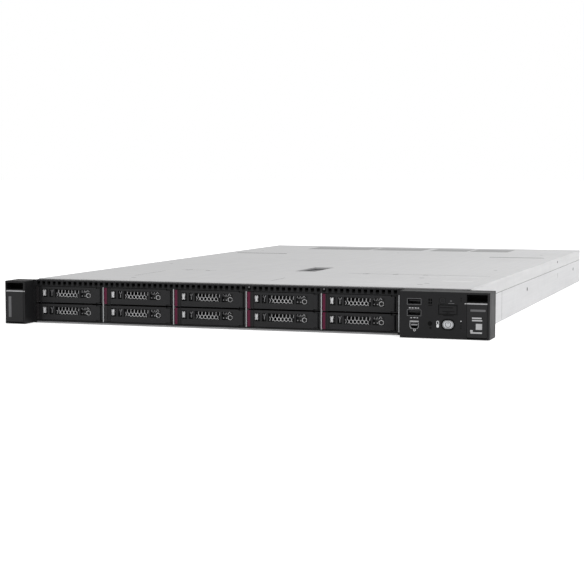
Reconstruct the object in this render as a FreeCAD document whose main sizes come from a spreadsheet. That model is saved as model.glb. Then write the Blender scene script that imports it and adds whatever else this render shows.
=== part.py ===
# A 1u rack server: ten hot-swap drive trays, two power supplies, rack ears with latches.
#
# Frame: X to the right seen from the front, Y from the front to the rear, Z up.  The sub-parts are
# drawn with y = 0 on the front face of the ears and z = 0 on the underside, and each sub-part's
# Placement then moves it back by half the overall depth, so that the origin of the finished part
# is the middle of its underside.  Every formula below names cells of the sheet "Sizes".
import FreeCAD
import Part
import Sketcher
import math
import os
import re

doc = FreeCAD.newDocument("RackServer")
sheet = doc.addObject("Spreadsheet::Sheet", "Sizes")

sizes = {
    # the case
    "ear_width": 22.4,        # each ear beyond the side of the body
    "body_width": 437.2,      # between the rack posts
    "body_height": 43,
    "body_depth": 774,        # ear face to rear panel
    "chassis_sheet": 1.2,
    "cover_sheet": 0.8,
    "clearance": 0.3,         # between pieces that move past each other
    "flange_seam": 30,        # height of the lower edge of the covers' side flanges
    "cover_seam": 204,        # joint between the front cover and the sliding cover
    "side_play": 3.6,         # side of the body to the right-hand supply
    # the front
    "ear_depth": 29,
    "ear_drop": 1,            # the ears stop this far under the top
    "ear_wall": 1.8,
    "bay_recess": 18,         # the bay lies this far behind the ears' faces
    "io_width": 63.8,         # right of the last column line, to the side of the body
    "comb_height": 6.5,       # from the top down to the roof of the bay
    "grille_pitch": 5.68,
    "grille_hole": 3.4,
    "lip_depth": 2,
    # the drive bay
    "bay_margin": 1.8,        # side of the body to the first column line
    "cage_floor": 1.5,
    "divider_wall": 1.2,
    "rail_width": 3,
    "row_gap": 1.2,           # between the lower and the upper tray
    # a drive tray
    "tray_depth": 132,
    "tray_sheet": 1,
    "release_width": 3.3,
    "band_width": 2.6,
    "hinge_post": 2.8,        # right of the handle
    "handle_thick": 3.2,
    "handle_inset": 0.2,
    "mesh_sheet": 0.8,
    "mesh_window": 8,         # height of the windows in a handle
    "cell_pitch": 3.85,
    "cell_flat": 2.9,
    "pin_radius": 0.7,
    "pin_play": 0.06,
    "drive_play": 0.55,
    "drive_length": 100.2,
    "drive_height": 9.5,
    # ear latches and the captive rack screws
    "screw_inset": 13.95,     # side of the body to the captive screw
    "screw_radius": 2.5,
    "screw_reach": 10,
    "latch_thick": 2.6,
    "latch_barrel": 2,
    "latch_cavity": 9,
    # cooling
    "fan_gap": 29,            # between two fans
    "fan_length": 48,
    "fan_front": 206.5,
    "hub_radius": 9,
    "blade_gap": 2,           # blade tips to the side of the fan
    # power supplies
    "supply_width": 73.2,
    "supply_length": 185,
    "supply_play": 1,         # supply to the cover above it
    "supply_pitch": 76.8,
    "handle_reach": 22,
    # boards
    "board_sheet": 1.6,
    "board_lift": 5,
    "dimm_length": 133.3,
    "dimm_pitch": 7.6,
    "rail_hole": 2,
    "rail_hole_front": 337,
    "rail_hole_rear": 66,     # from the rear panel
    "rail_hole_height": 20.75,
}

for row, (alias, number) in enumerate(sizes.items(), 1):
    sheet.set("A%d" % row, alias)
    sheet.set("B%d" % row, str(number))
    sheet.setAlias("B%d" % row, alias)
doc.recompute()

COLUMNS = 5
ROWS = 2
FANS = 5
DIMMS_PER_BANK = 6

# places and sizes that follow from the sheet, as formulas
SIDE = "(body_width/2)"
REAR_SHIFT = "(-(body_depth + handle_reach)/2)"
WALL_IN = "(body_width/2 - chassis_sheet)"
UPPER_OUT = "(body_width/2 - cover_sheet - clearance)"
UPPER_IN = "(body_width/2 - cover_sheet - clearance - chassis_sheet)"
COVER_UNDER = "(body_height - cover_sheet)"
COVER_HINGE = ("(cover_seam + 81.5)", COVER_UNDER + " - 1.9")
EAR_HEIGHT = "(body_height - ear_drop)"
EAR_HINGE = ("latch_barrel", "latch_barrel + 1")
CAGE_TOP = "(body_height - comb_height)"
COMB_TOP = "(body_height - cover_sheet + 0.2)"
TRAY_BOTTOM = "(chassis_sheet + cage_floor + clearance)"
ROW_PITCH = "((body_height - comb_height - chassis_sheet - cage_floor - 2*clearance + row_gap)/2)"
TRAY_HEIGHT = "((body_height - comb_height - chassis_sheet - cage_floor - 2*clearance - row_gap)/2)"
COLUMN_PITCH = "((body_width - bay_margin - divider_wall/2 - io_width)/%d)" % COLUMNS
BAY_RIGHT = "(body_width/2 - io_width)"
TRAY_WIDTH = "(%s - divider_wall - 2*clearance)" % COLUMN_PITCH
FLOOR_FRONT = "(bay_recess + lip_depth)"
MESH_FRONT = "(handle_thick + clearance + 0.2)"
FRAME_FRONT = "(handle_thick + clearance + 0.2 + mesh_sheet)"
HANDLE_LEFT = "(release_width + band_width + 0.1 + 2*clearance)"
HANDLE_LENGTH = "(%s - %s - hinge_post)" % (TRAY_WIDTH, HANDLE_LEFT)
HINGE_X = "(%s - hinge_post - handle_thick/2)" % TRAY_WIDTH
WINDOW_MIDDLE = "(%s/2 + 1.4)" % TRAY_HEIGHT
SCREW_PLACE = ("-body_width/2 - screw_inset", "body_height/2")
SUPPLY_RIGHT = "(body_width/2 - side_play)"
SUPPLY_FRONT = "(body_depth - supply_length)"
PORT_TOP = "(board_lift + board_sheet - clearance + 12)"
SUPPLY_HEIGHT = "(body_height - cover_sheet - chassis_sheet - clearance - supply_play)"
FAN_SIZE = "(body_height - cover_sheet - chassis_sheet - supply_play)"
BLADE_RADIUS = "(%s/2 - blade_gap)" % FAN_SIZE
FAN_PITCH = "(%s + fan_gap)" % FAN_SIZE
SOCKET_PLACE = "(0.24*body_width)"

subParts = []


def fromRight(distance):
    """A place across, measured in from the right side of the body."""
    return "(body_width/2 - %g)" % distance


def fromSeam(distance):
    """A place along, measured back from the seam between the covers."""
    return "(cover_seam + %g)" % distance


def fromRear(distance):
    """A place along, measured in from the rear panel."""
    return "(body_depth - %g)" % distance


def cells(text):
    """A formula with the names of sizes turned into references to the sheet's cells."""
    return re.sub(r"[a-z_]+", lambda m: "Sizes." + m[0] if m[0] in sizes else m[0], str(text))


def bind(thing, prop, text):
    thing.setExpression(prop, cells(text))


def amount(text):
    """The value of a formula now."""
    result = sheet.evalExpression(cells(text))
    return float(getattr(result, "Value", result))


# ---- primitives and booleans ----

def block(name, x, y, z):
    """A box from (low, high) formulas along each axis."""
    box = doc.addObject("Part::Box", name)
    for side, axis, (low, high) in zip(("Length", "Width", "Height"), "xyz", (x, y, z)):
        bind(box, side, "(%s) - (%s)" % (high, low))
        bind(box, "Placement.Base." + axis, low)
    return box


def rod(name, axis, centre, span, radius):
    """A cylinder along an axis, with its centre line through two coordinates and its ends at span."""
    cylinder = doc.addObject("Part::Cylinder", name)
    turn = {"x": (FreeCAD.Vector(0, 1, 0), 90), "y": (FreeCAD.Vector(1, 0, 0), -90),
            "z": (FreeCAD.Vector(0, 0, 1), 0)}[axis]
    cylinder.Placement.Rotation = FreeCAD.Rotation(*turn)
    low, high = span
    bind(cylinder, "Radius", radius)
    bind(cylinder, "Height", "(%s) - (%s)" % (high, low))
    places = dict(zip("xyz".replace(axis, ""), centre))
    places[axis] = low
    for letter, place in places.items():
        bind(cylinder, "Placement.Base." + letter, place)
    return cylinder


def fuse(name, *pieces):
    joined = doc.addObject("Part::MultiFuse", name)
    joined.Shapes = list(pieces)
    joined.Refine = True
    return joined


def cut(name, base, *tools):
    result = doc.addObject("Part::Cut", name)
    result.Base = base
    result.Tool = tools[0] if len(tools) == 1 else fuse(name + "Tools", *tools)
    result.Refine = True
    return result


def copies(name, piece, count, axis, pitch, first="0"):
    """Separate copies of a piece in a row, each placed by a formula."""
    made = []
    for index in range(count):
        copy = doc.addObject("Part::Compound", "%s%d" % (name, index + 1))
        copy.Links = [piece]
        bind(copy, "Placement.Base." + axis, "%s + %d*(%s)" % (first, index, pitch))
        made.append(copy)
    return made


# ---- sketched bodies ----

def originFeature(body, role):
    return [f for f in body.Origin.OriginFeatures if f.Role == role][0]


def outlineSketch(body, plane, offset, outline):
    """A closed polygon on one of the body's planes, each corner held by two formulas."""
    sketch = body.newObject("Sketcher::SketchObject", body.Name + "Sketch")
    sketch.AttachmentSupport = [(originFeature(body, plane + "_Plane"), "")]
    sketch.MapMode = "FlatFace"
    bind(sketch, "AttachmentOffset.Base.z", "-(%s)" % offset if plane == "XZ" else offset)
    corners = [FreeCAD.Vector(amount(u), amount(v), 0) for u, v in outline]
    count = len(corners)
    lines = [Part.LineSegment(corners[i], corners[(i + 1) % count]) for i in range(count)]
    sketch.addGeometry(lines, False)
    for i in range(count):
        sketch.addConstraint(Sketcher.Constraint("Coincident", i, 2, (i + 1) % count, 1))
    for i, (u, v) in enumerate(outline):
        for kind, value, text in (("DistanceX", corners[i].x, u), ("DistanceY", corners[i].y, v)):
            number = sketch.addConstraint(Sketcher.Constraint(kind, -1, 1, i, 1, value))
            bind(sketch, "Constraints[%d]" % number, text)
    return sketch


def extrude(body, kind, plane, outline, low, high):
    """A Pad or Pocket of an outline, from low to high along the plane's axis."""
    feature = body.newObject("PartDesign::" + kind, body.Name + kind)
    feature.Profile = outlineSketch(body, plane, low, outline)
    bind(feature, "Length", "(%s) - (%s)" % (high, low))
    feature.Reversed = (plane == "XZ") == (kind == "Pad")
    body.Tip = feature
    return feature


def repeat(body, feature, axis, pitch, count):
    pattern = body.newObject("PartDesign::LinearPattern", body.Name + "Pattern")
    pattern.Originals = [feature]
    pattern.Direction = (originFeature(body, axis + "_Axis"), [""])
    pattern.Mode = "Spacing"
    bind(pattern, "Offset", pitch)
    bind(pattern, "Occurrences", count)
    body.Tip = pattern
    return pattern


def newBody(name):
    return doc.addObject("PartDesign::Body", name)


def rectangle(u, v):
    return [(u[0], v[0]), (u[1], v[0]), (u[1], v[1]), (u[0], v[1])]


def subPart(label, pieces, x="0", z="0"):
    """A finished sub-part: its separate solids, placed in the frame of the whole."""
    part = doc.addObject("Part::Compound", label)
    part.Links = pieces
    part.Label = label
    bind(part, "Placement.Base.x", x)
    bind(part, "Placement.Base.y", REAR_SHIFT)
    bind(part, "Placement.Base.z", z)
    subParts.append(part)
    return part


def mirrored(name, piece):
    mirror = doc.addObject("Part::Mirroring", name)
    mirror.Source = piece
    mirror.Normal = FreeCAD.Vector(1, 0, 0)
    return mirror


# ---- the case ----

def chassisTray():
    """Floor and side walls in one bent sheet; above the seam the walls step in under the flanges.

    At the front the upper walls stop behind the ears and the grille.
    """
    body = newBody("ChassisSheet")
    seam = "flange_seam - clearance"
    step = "flange_seam - clearance - chassis_sheet"
    top = COVER_UNDER + " - clearance"
    left = [("-body_width/2", "0"), ("-body_width/2", seam), ("-" + UPPER_OUT, seam),
            ("-" + UPPER_OUT, top), ("-" + UPPER_IN, top), ("-" + UPPER_IN, step),
            ("-" + WALL_IN, step), ("-" + WALL_IN, "chassis_sheet")]
    right = [(u[1:], v) for u, v in reversed(left)]
    extrude(body, "Pad", "XZ", left[::-1] + right[::-1], FLOOR_FRONT, "body_depth")
    corner = rectangle((FLOOR_FRONT + " - 1", "ear_depth"), (step, "body_height"))
    extrude(body, "Pocket", "YZ", corner, "-body_width/2 - 1", "body_width/2 + 1")
    holes = []
    for index in range(2):
        place = ("rail_hole_front", "body_depth - rail_hole_rear")[index]
        holes.append(rod("RailHole%d" % index, "x", (place, "rail_hole_height"),
                         ("-body_width/2 - 1", "body_width/2 + 1"), "rail_hole"))
    subPart("chassis_tray", [cut("DrilledChassis", body, *holes)])


def coverOutline():
    """An inverted channel: the top sheet with a flange down each side."""
    inner = "(body_width/2 - cover_sheet)"
    return [("-body_width/2", "flange_seam"), ("-" + inner, "flange_seam"), ("-" + inner, COVER_UNDER),
            (inner, COVER_UNDER), (inner, "flange_seam"), ("body_width/2", "flange_seam"),
            ("body_width/2", "body_height"), ("-body_width/2", "body_height")]


def frontCover():
    body = newBody("FrontCoverSheet")
    extrude(body, "Pad", "XZ", coverOutline(), "ear_depth + clearance", "cover_seam")
    subPart("front_cover", [body])


def topCover():
    """The sliding cover: latch well, two finger slots, the rear vent fields and the side flanges."""
    body = newBody("TopCoverSheet")
    span = ("cover_seam + clearance", "body_depth")
    sheetOutline = rectangle(("-body_width/2", "body_width/2"), span)
    extrude(body, "Pad", "XY", sheetOutline, COVER_UNDER, "body_height")
    flanges = [block("CoverFlange" + side, across, span, ("flange_seam", COVER_UNDER))
               for side, across in (("Left", ("-body_width/2", "-body_width/2 + cover_sheet")),
                                    ("Right", ("body_width/2 - cover_sheet", "body_width/2")))]
    deep = (COVER_UNDER + " - 1", "body_height + 1")
    extrude(body, "Pocket", "XY", rectangle(("-11", "11"), (fromSeam(13), fromSeam(85))), *deep)
    slotSpan = ("-body_width/2 + 15.6", "-body_width/2 + 84.6")
    slot = extrude(body, "Pocket", "XY", rectangle(slotSpan, (fromRear(221), fromRear(215))), *deep)
    repeat(body, slot, "X", "body_width - 100.2", "2")
    for name, left, count in (("wide", "-144", 9), ("narrow", "29", 6)):
        outline = rectangle((left, left + " + 13"), (fromRear(94), fromRear(35)))
        vent = extrude(body, "Pocket", "XY", outline, *deep)
        repeat(body, vent, "X", "18.5", str(count))
    well = newBody("LatchWell")
    under = (COVER_UNDER + " - 5.2", COVER_UNDER)
    extrude(well, "Pad", "XY", rectangle(("-12", "12"), (fromSeam(12), fromSeam(86))), *under)
    extrude(well, "Pocket", "XY", rectangle(("-11", "11"), (fromSeam(13), fromSeam(85))),
            COVER_UNDER + " - 4.4", COVER_UNDER + " + 1")
    pin = rod("CoverLatchPin", "x", COVER_HINGE, ("-11", "11"), "0.8")
    subPart("top_cover", [body, well, pin] + flanges)


def coverLatch():
    """The lever in the cover's well, hinged on its pin at the rear end."""
    blade = block("CoverLever", ("-10.5", "10.5"), (fromSeam(14), COVER_HINGE[0]),
                  (COVER_UNDER + " - 2.6", COVER_UNDER + " + 0.1"))
    barrel = rod("CoverLeverBarrel", "x", COVER_HINGE, ("-10.5", "10.5"), "1.9")
    bore = rod("CoverLeverBore", "x", COVER_HINGE, ("-12", "12"), "0.8 + pin_play")
    scoop = block("CoverLeverScoop", ("-6", "6"), (fromSeam(16), fromSeam(22)),
                  (COVER_UNDER + " - 1.2", COVER_UNDER + " + 1"))
    rib = block("CoverLeverRib", ("-7", "7"), (fromSeam(32), fromSeam(70)),
                (COVER_UNDER + " - 1.2", COVER_UNDER + " + 1"))
    subPart("cover_latch", [cut("CoverLeverCut", fuse("CoverLeverSolid", blade, barrel), bore, scoop, rib)])


def frontGrille():
    """The comb of small air holes over the bay, the lip under it and the jamb that joins them."""
    comb = newBody("GrilleComb")
    span = ("-body_width/2", BAY_RIGHT)
    extrude(comb, "Pad", "XZ", rectangle(span, (CAGE_TOP, COMB_TOP)), "bay_recess", "ear_depth")
    first = "(-body_width/2 + 4)"
    hole = rectangle((first, first + " + grille_hole"), (CAGE_TOP + " + 2.2", COMB_TOP + " - 1.2"))
    pocket = extrude(comb, "Pocket", "XZ", hole, "bay_recess - 1", "ear_depth + 1")
    room = "(%s + body_width/2 - 6.1 - grille_hole)" % BAY_RIGHT
    repeat(comb, pocket, "X", "grille_pitch", "floor(%s/grille_pitch) + 1" % room)
    lip = block("BayLip", span, ("bay_recess", FLOOR_FRONT), ("0", "chassis_sheet + cage_floor"))
    jamb = block("BayJamb", ("-body_width/2", "-" + UPPER_IN), ("bay_recess", FLOOR_FRONT),
                 ("chassis_sheet + cage_floor", CAGE_TOP))
    subPart("front_grille", [fuse("FrontBezel", comb, lip, jamb)])


def rearPanel():
    """Rear wall: an upper sheet with the card openings, their plates, and posts round ports and bays."""
    back = ("body_depth - chassis_sheet", "body_depth")
    top = COVER_UNDER + " - clearance"
    through = ("body_depth - chassis_sheet - 1", "body_depth + 1")
    bays = []
    for index in range(2):
        right = "(%s - %d*supply_pitch)" % (SUPPLY_RIGHT, index)
        bays.append((right + " - supply_width - clearance", right + " + clearance"))
    bayTop = "chassis_sheet + %s + 2*clearance" % SUPPLY_HEIGHT
    upper = newBody("RearSheet")
    extrude(upper, "Pad", "XZ", rectangle(("-" + UPPER_IN, bays[1][0]), (PORT_TOP, top)), *back)
    made = [upper]
    for index, (left, right, low, high) in enumerate(cardSlots()):
        extrude(upper, "Pocket", "XZ", rectangle((left, right), (low, high)), *through)
        made.append(block("CardPlate%d" % index, (left + " - 1.5", right + " + 1.5"),
                          ("body_depth - 2*chassis_sheet", "body_depth - chassis_sheet"),
                          (low + " - 1.2", high + " + 1.2")))
    ports = portCutouts()
    band = ports[0][2:]
    vented = newBody("VentPost")
    extrude(vented, "Pad", "XZ", rectangle(("-" + UPPER_IN, ports[0][0]), band), *back)
    ventOutline = rectangle(("-body_width/2 + 12.6", "-body_width/2 + 15.6"),
                            (band[0] + " + 1", band[1] + " - 1"))
    vent = extrude(vented, "Pocket", "XZ", ventOutline, *through)
    repeat(vented, vent, "X", "5", "10")
    made.append(vented)
    for index, port in enumerate(ports):
        end = ports[index + 1][0] if index + 1 < len(ports) else bays[1][0]
        made.append(block("PortPost%d" % index, (port[1], end), back, band))
    made.append(block("RearSill", ("-" + UPPER_IN, bays[1][0]), back, ("chassis_sheet", band[0])))
    made.append(block("BayPost", (bays[1][1], bays[0][0]), back, ("chassis_sheet", bayTop)))
    made.append(block("BayEnd", (bays[0][1], UPPER_IN), back, ("chassis_sheet", bayTop)))
    made.append(block("BayLintel", (bays[1][0], UPPER_IN), back, (bayTop, top)))
    subPart("rear_panel", made)


def cardSlots():
    """Left, right, bottom and top of the expansion card openings, which share the free width."""
    free = "(body_width - side_play - supply_pitch - supply_width - 43.6)"
    span = (PORT_TOP + " + 2.7", "body_height - 7")
    slots = []
    left = "-body_width/2 + 8.6"
    for share in (0.44, 0.29, 0.27):
        right = "%s + %g*%s" % (left, share, free)
        slots.append((left, right) + span)
        left = right + " + 10"
    return slots


def portCutouts():
    """Left, right, bottom and top of the rear connector openings."""
    cutouts = []
    for start, width in ((78.6, 32), (120.6, 15), (143.6, 14), (163.6, 14), (183.6, 14)):
        left = "(-body_width/2 + %g)" % start
        cutouts.append((left, "%s + %g" % (left, width), PORT_TOP + " - 12", PORT_TOP))
    return cutouts


# ---- the ears ----

def earSolids():
    """The left ear: shell with finger recess and latch cavity, latch pin and captive screw."""
    shell = newBody("EarShell")
    outer = "-body_width/2 - ear_width"
    inner = "-body_width/2"
    chamfer = "1.5"
    plan = [(outer, "ear_depth"), (outer, chamfer), (outer + " + " + chamfer, "0"), (inner, "0"),
            (inner, "ear_depth")]
    extrude(shell, "Pad", "XY", plan, "0", EAR_HEIGHT)
    across = (outer + " + ear_wall", inner + " - ear_wall")
    extrude(shell, "Pocket", "XZ", rectangle(across, ("33.8", EAR_HEIGHT + " - ear_wall")), "-1", "12")
    extrude(shell, "Pocket", "XZ", rectangle(across, ("0.7", "33")), "-1", "latch_cavity")
    hole = rod("RackScrewHole", "y", SCREW_PLACE,
               ("latch_cavity - 1", "ear_depth + 1"), "screw_radius + 0.5")
    pin = rod("LatchPin", "x", EAR_HINGE, across, "pin_radius")
    head = rod("RackScrewHead", "y", SCREW_PLACE,
               ("latch_cavity - 4", "latch_cavity"), "screw_radius + 1.8")
    x, z = SCREW_PLACE
    shank = block("RackScrewShank", (x + " - 2", x + " + 2"), ("latch_cavity", "ear_depth"),
                  (z + " - 2", z + " + 2"))
    thread = rod("RackScrewThread", "y", SCREW_PLACE,
                 ("ear_depth", "ear_depth + screw_reach"), "screw_radius")
    return [cut("EarDrilled", shell, hole), pin], fuse("RackScrew", head, shank, thread)


def latchSolids():
    """The left ear's latch: a cover plate on a hinge barrel, with a bright finger strip on top."""
    low = "(-body_width/2 - ear_width + ear_wall + clearance)"
    high = "(-body_width/2 - ear_wall - clearance)"
    plate = block("LatchPlate", (low, high), ("0", "latch_thick"), ("latch_barrel + 1", "31.6"))
    barrel = rod("LatchBarrel", "x", EAR_HINGE, (low, high), "latch_barrel")
    bore = rod("LatchBore", "x", EAR_HINGE, (low + " - 1", high + " + 1"), "pin_radius + pin_play")
    strip = block("LatchStrip", (low, high), ("0", "latch_thick"), ("31.6", "32.7"))
    return [cut("LatchBody", fuse("LatchSolid", plate, barrel), bore), strip]


# ---- the front controls ----

POWER_X = fromRight(14.9)
POWER_Z = "12.9"


def ioHousing():
    """The block with the front connectors and controls, flush with the right ear."""
    body = newBody("FrontPanelBlock")
    front = rectangle((fromRight(59.1), SIDE), ("0", EAR_HEIGHT))
    extrude(body, "Pad", "XZ", front, "0", "bay_recess")
    rear = rectangle((BAY_RIGHT, WALL_IN), ("chassis_sheet", EAR_HEIGHT))
    extrude(body, "Pad", "XZ", rear, "bay_recess", "ear_depth")
    for low, high in (("30.2", "35.5"), ("20", "25.3")):
        extrude(body, "Pocket", "XZ", rectangle((fromRight(52.4), fromRight(39.6)), (low, high)), "-1", "14")
    port = [(fromRight(distance), height) for distance, height in
            ((48.8, "8.7"), (43, "8.7"), (41.8, "10.6"), (41.8, "15"), (50, "15"), (50, "10.6"))]
    extrude(body, "Pocket", "XZ", port, "-1", "9")
    for heights in (("31", "33"), ("33.7", "35.7")):
        outline = rectangle((fromRight(32.9), fromRight(31.7)), heights)
        vent = extrude(body, "Pocket", "XZ", outline, "-1", "4")
        repeat(body, vent, "X", "2", "2")
    tabWay = rectangle((fromRight(23.9), fromRight(6.5)), ("21.7", "30.8"))
    extrude(body, "Pocket", "XZ", tabWay, "-1", "3.3")
    cardWay = rectangle((fromRight(22.7), fromRight(7.7)), ("25.2", "27.3"))
    extrude(body, "Pocket", "XZ", cardWay, "2", "ear_depth + 1")
    idWay = rectangle((fromRight(22.7), fromRight(17.5)), ("31.9", "36.7"))
    extrude(body, "Pocket", "XZ", idWay, "-1", "8")
    jack = rod("JackHole", "y", (fromRight(31.4), "13.4"), ("-1", "12"), "1.7")
    return cut("FrontPanelCut", body, jack, ovalRod("PowerWay", "clearance", ("-1", "9")))


def ovalRod(name, grow, span):
    """The power button's oval: two round ends and a straight middle, grown all round."""
    radius = "4.05 + " + grow
    ends = [rod(name + side, "y", (POWER_X + shift, POWER_Z), span, radius)
            for side, shift in (("Left", " - 1.3"), ("Right", " + 1.3"))]
    middle = block(name + "Middle", (POWER_X + " - 1.3", POWER_X + " + 1.3"), span,
                   (POWER_Z + " - (%s)" % radius, POWER_Z + " + " + radius))
    return fuse(name, middle, *ends)


def powerButton():
    stem = block("PowerStem", (POWER_X + " - 2", POWER_X + " + 2"), ("4", "7"),
                 (POWER_Z + " - 2", POWER_Z + " + 2"))
    cap = ovalRod("PowerCap", "0", ("0", "4"))
    subPart("power_button", [fuse("PowerButtonSolid", cap, stem)])


def idButton():
    cap = block("IdCap", (fromRight(22.4), fromRight(17.8)), ("0.3", "5"), ("32.2", "36.4"))
    subPart("id_button", [cap])


def infoTab():
    """A pull-out card with a finger plate."""
    plate = block("TabPlate", (fromRight(23.6), fromRight(6.8)), ("0", "2.5"), ("22", "30.5"))
    card = block("TabCard", (fromRight(22.4), fromRight(8)), ("2.5", "84"), ("25.5", "27"))
    notch = block("TabNotch", (fromRight(16.6), fromRight(13.6)), ("-1", "0.8"), ("22.8", "23.8"))
    subPart("info_tab", [cut("TabNotched", fuse("TabSolid", plate, card), notch)])


def connectors():
    """Front and rear connector shells, each a box with its mouth to the outside."""
    made = []
    for index, low in enumerate(("30.2", "20")):
        high = low + " + 5.3"
        shell = block("UsbShell%d" % index, (fromRight(52.4), fromRight(39.6)), ("0.2", "14"), (low, high))
        mouth = block("UsbMouth%d" % index, (fromRight(51.9), fromRight(40.1)), ("-1", "13"),
                      (low + " + 0.5", high + " - 0.5"))
        tongue = block("UsbTongue%d" % index, (fromRight(51), fromRight(41)), ("2", "13"),
                       (low + " + 2.9", low + " + 4.1"))
        made.append(fuse("UsbPort%d" % index, cut("UsbCut%d" % index, shell, mouth), tongue))
    for index, (left, right, low, high) in enumerate(portCutouts()):
        name = "RearPort%d" % index
        span = ("body_depth - 16", "body_depth - 0.2")
        shell = block(name + "Shell", (left + " + 0.3", right + " - 0.3"), span,
                      (low + " + 0.3", high + " - 0.3"))
        mouth = block(name + "Mouth", (left + " + 1.1", right + " - 1.1"),
                      ("body_depth - 13", "body_depth + 1"), (low + " + 1.6", high + " - 1.1"))
        made.append(cut(name, shell, mouth))
    subPart("io_ports", made)


# ---- the drive bay ----

def driveCage():
    """Floor and roof, and between them a bright divider after each column with its tray rails."""
    span = (FLOOR_FRONT, "bay_recess + tray_depth")
    low = "chassis_sheet + cage_floor"
    floor = block("CageFloor", ("-" + WALL_IN, BAY_RIGHT), span, ("chassis_sheet", low))
    roof = block("CageRoof", ("-" + UPPER_IN, BAY_RIGHT), ("ear_depth", span[1]),
                 (CAGE_TOP, CAGE_TOP + " + 1"))
    rail = ("(%s + %s + clearance)" % (TRAY_BOTTOM, TRAY_HEIGHT),
            "(%s + %s - clearance)" % (TRAY_BOTTOM, ROW_PITCH))
    ways = ("bay_recess + 8", span[1])
    dividers = []
    for name, rightRail in (("Divider", "rail_width"), ("LastDivider", "0")):
        body = newBody(name)
        across = rectangle(("-divider_wall/2", "divider_wall/2"), (low, CAGE_TOP))
        extrude(body, "Pad", "XZ", across, "bay_recess", span[1])
        rails = rectangle(("-divider_wall/2 - rail_width", "divider_wall/2 + " + rightRail), rail)
        extrude(body, "Pad", "XZ", rails, *ways)
        dividers.append(body)
    line = "-body_width/2 + bay_margin + " + COLUMN_PITCH
    plates = copies("DividerPlaced", dividers[0], COLUMNS - 1, "x", COLUMN_PITCH, line)
    lastLine = "%s + %d*%s" % (line, COLUMNS - 1, COLUMN_PITCH)
    plates += copies("LastPlaced", dividers[1], 1, "x", COLUMN_PITCH, lastLine)
    sideRail = block("CageSideRail", ("-" + WALL_IN, "-%s + rail_width + 1" % WALL_IN), ways, rail)
    subPart("drive_cage", [floor, roof, sideRail] + plates)


def traySled():
    """Bottom and side rails in one channel, the front frame, the bezel band and the hinge lugs."""
    body = newBody("TraySled")
    frameBack = FRAME_FRONT + " + 2"
    wide = TRAY_WIDTH
    channel = [("0", "0"), (wide, "0"), (wide, "10"), (wide + " - tray_sheet", "10"),
               (wide + " - tray_sheet", "tray_sheet"), ("tray_sheet", "tray_sheet"),
               ("tray_sheet", "10"), ("0", "10")]
    extrude(body, "Pad", "XZ", channel, "bay_recess + " + frameBack, "bay_recess + tray_depth")
    frame = ("bay_recess + " + FRAME_FRONT, "bay_recess + " + frameBack)
    extrude(body, "Pad", "XZ", rectangle(("0", wide), ("0", TRAY_HEIGHT)), *frame)
    window = rectangle((HANDLE_LEFT + " + 1.9", wide + " - 10.9"), ("3", TRAY_HEIGHT + " - 2"))
    extrude(body, "Pocket", "XZ", window, frame[0] + " - 1", frame[1] + " + 1")
    front = ("bay_recess", "bay_recess + " + FRAME_FRONT)
    band = ("release_width + 0.1 + clearance", "release_width + 0.1 + clearance + band_width")
    extrude(body, "Pad", "XZ", rectangle(band, ("handle_inset", TRAY_HEIGHT + " - handle_inset")), *front)
    post = rectangle((HINGE_X + " + handle_thick/2 + 0.5", wide), ("0", TRAY_HEIGHT))
    extrude(body, "Pad", "XZ", post, "bay_recess + 1.5", front[1])
    lug = rectangle((HINGE_X + " - handle_thick/2", HINGE_X + " + handle_thick/2 + 0.6"), ("0", "0.9"))
    pad = extrude(body, "Pad", "XZ", lug, "bay_recess + 0.4", front[1])
    repeat(body, pad, "Z", TRAY_HEIGHT + " - 0.9", "2")
    return body


def trayMesh():
    """The bright plate behind the handle's windows, with its honeycomb of hexagonal air cells."""
    body = newBody("TrayMesh")
    span = ("bay_recess + " + MESH_FRONT, "bay_recess + " + FRAME_FRONT)
    outline = rectangle((HANDLE_LEFT + " + 0.4", TRAY_WIDTH + " - 8.9"), ("1.5", TRAY_HEIGHT + " - 1.2"))
    extrude(body, "Pad", "XZ", outline, *span)
    through = (span[0] + " - 1", span[1] + " + 1")
    for row, count in ((0, 7), (1, 6)):
        u = "(%s + 16.2 + %s*cell_pitch)" % (HANDLE_LEFT, row / 2)
        v = "(%s + %s*cell_pitch*0.866)" % (WINDOW_MIDDLE, row - 0.5)
        corner = "(cell_flat/2/0.866)"
        cell = [(u, "%s + %s" % (v, corner)), (u + " - cell_flat/2", "%s + %s/2" % (v, corner)),
                (u + " - cell_flat/2", "%s - %s/2" % (v, corner)), (u, "%s - %s" % (v, corner)),
                (u + " + cell_flat/2", "%s - %s/2" % (v, corner)),
                (u + " + cell_flat/2", "%s + %s/2" % (v, corner))]
        pocket = extrude(body, "Pocket", "XZ", cell, *through)
        repeat(body, pocket, "X", "cell_pitch", str(count))
    return body


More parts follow.
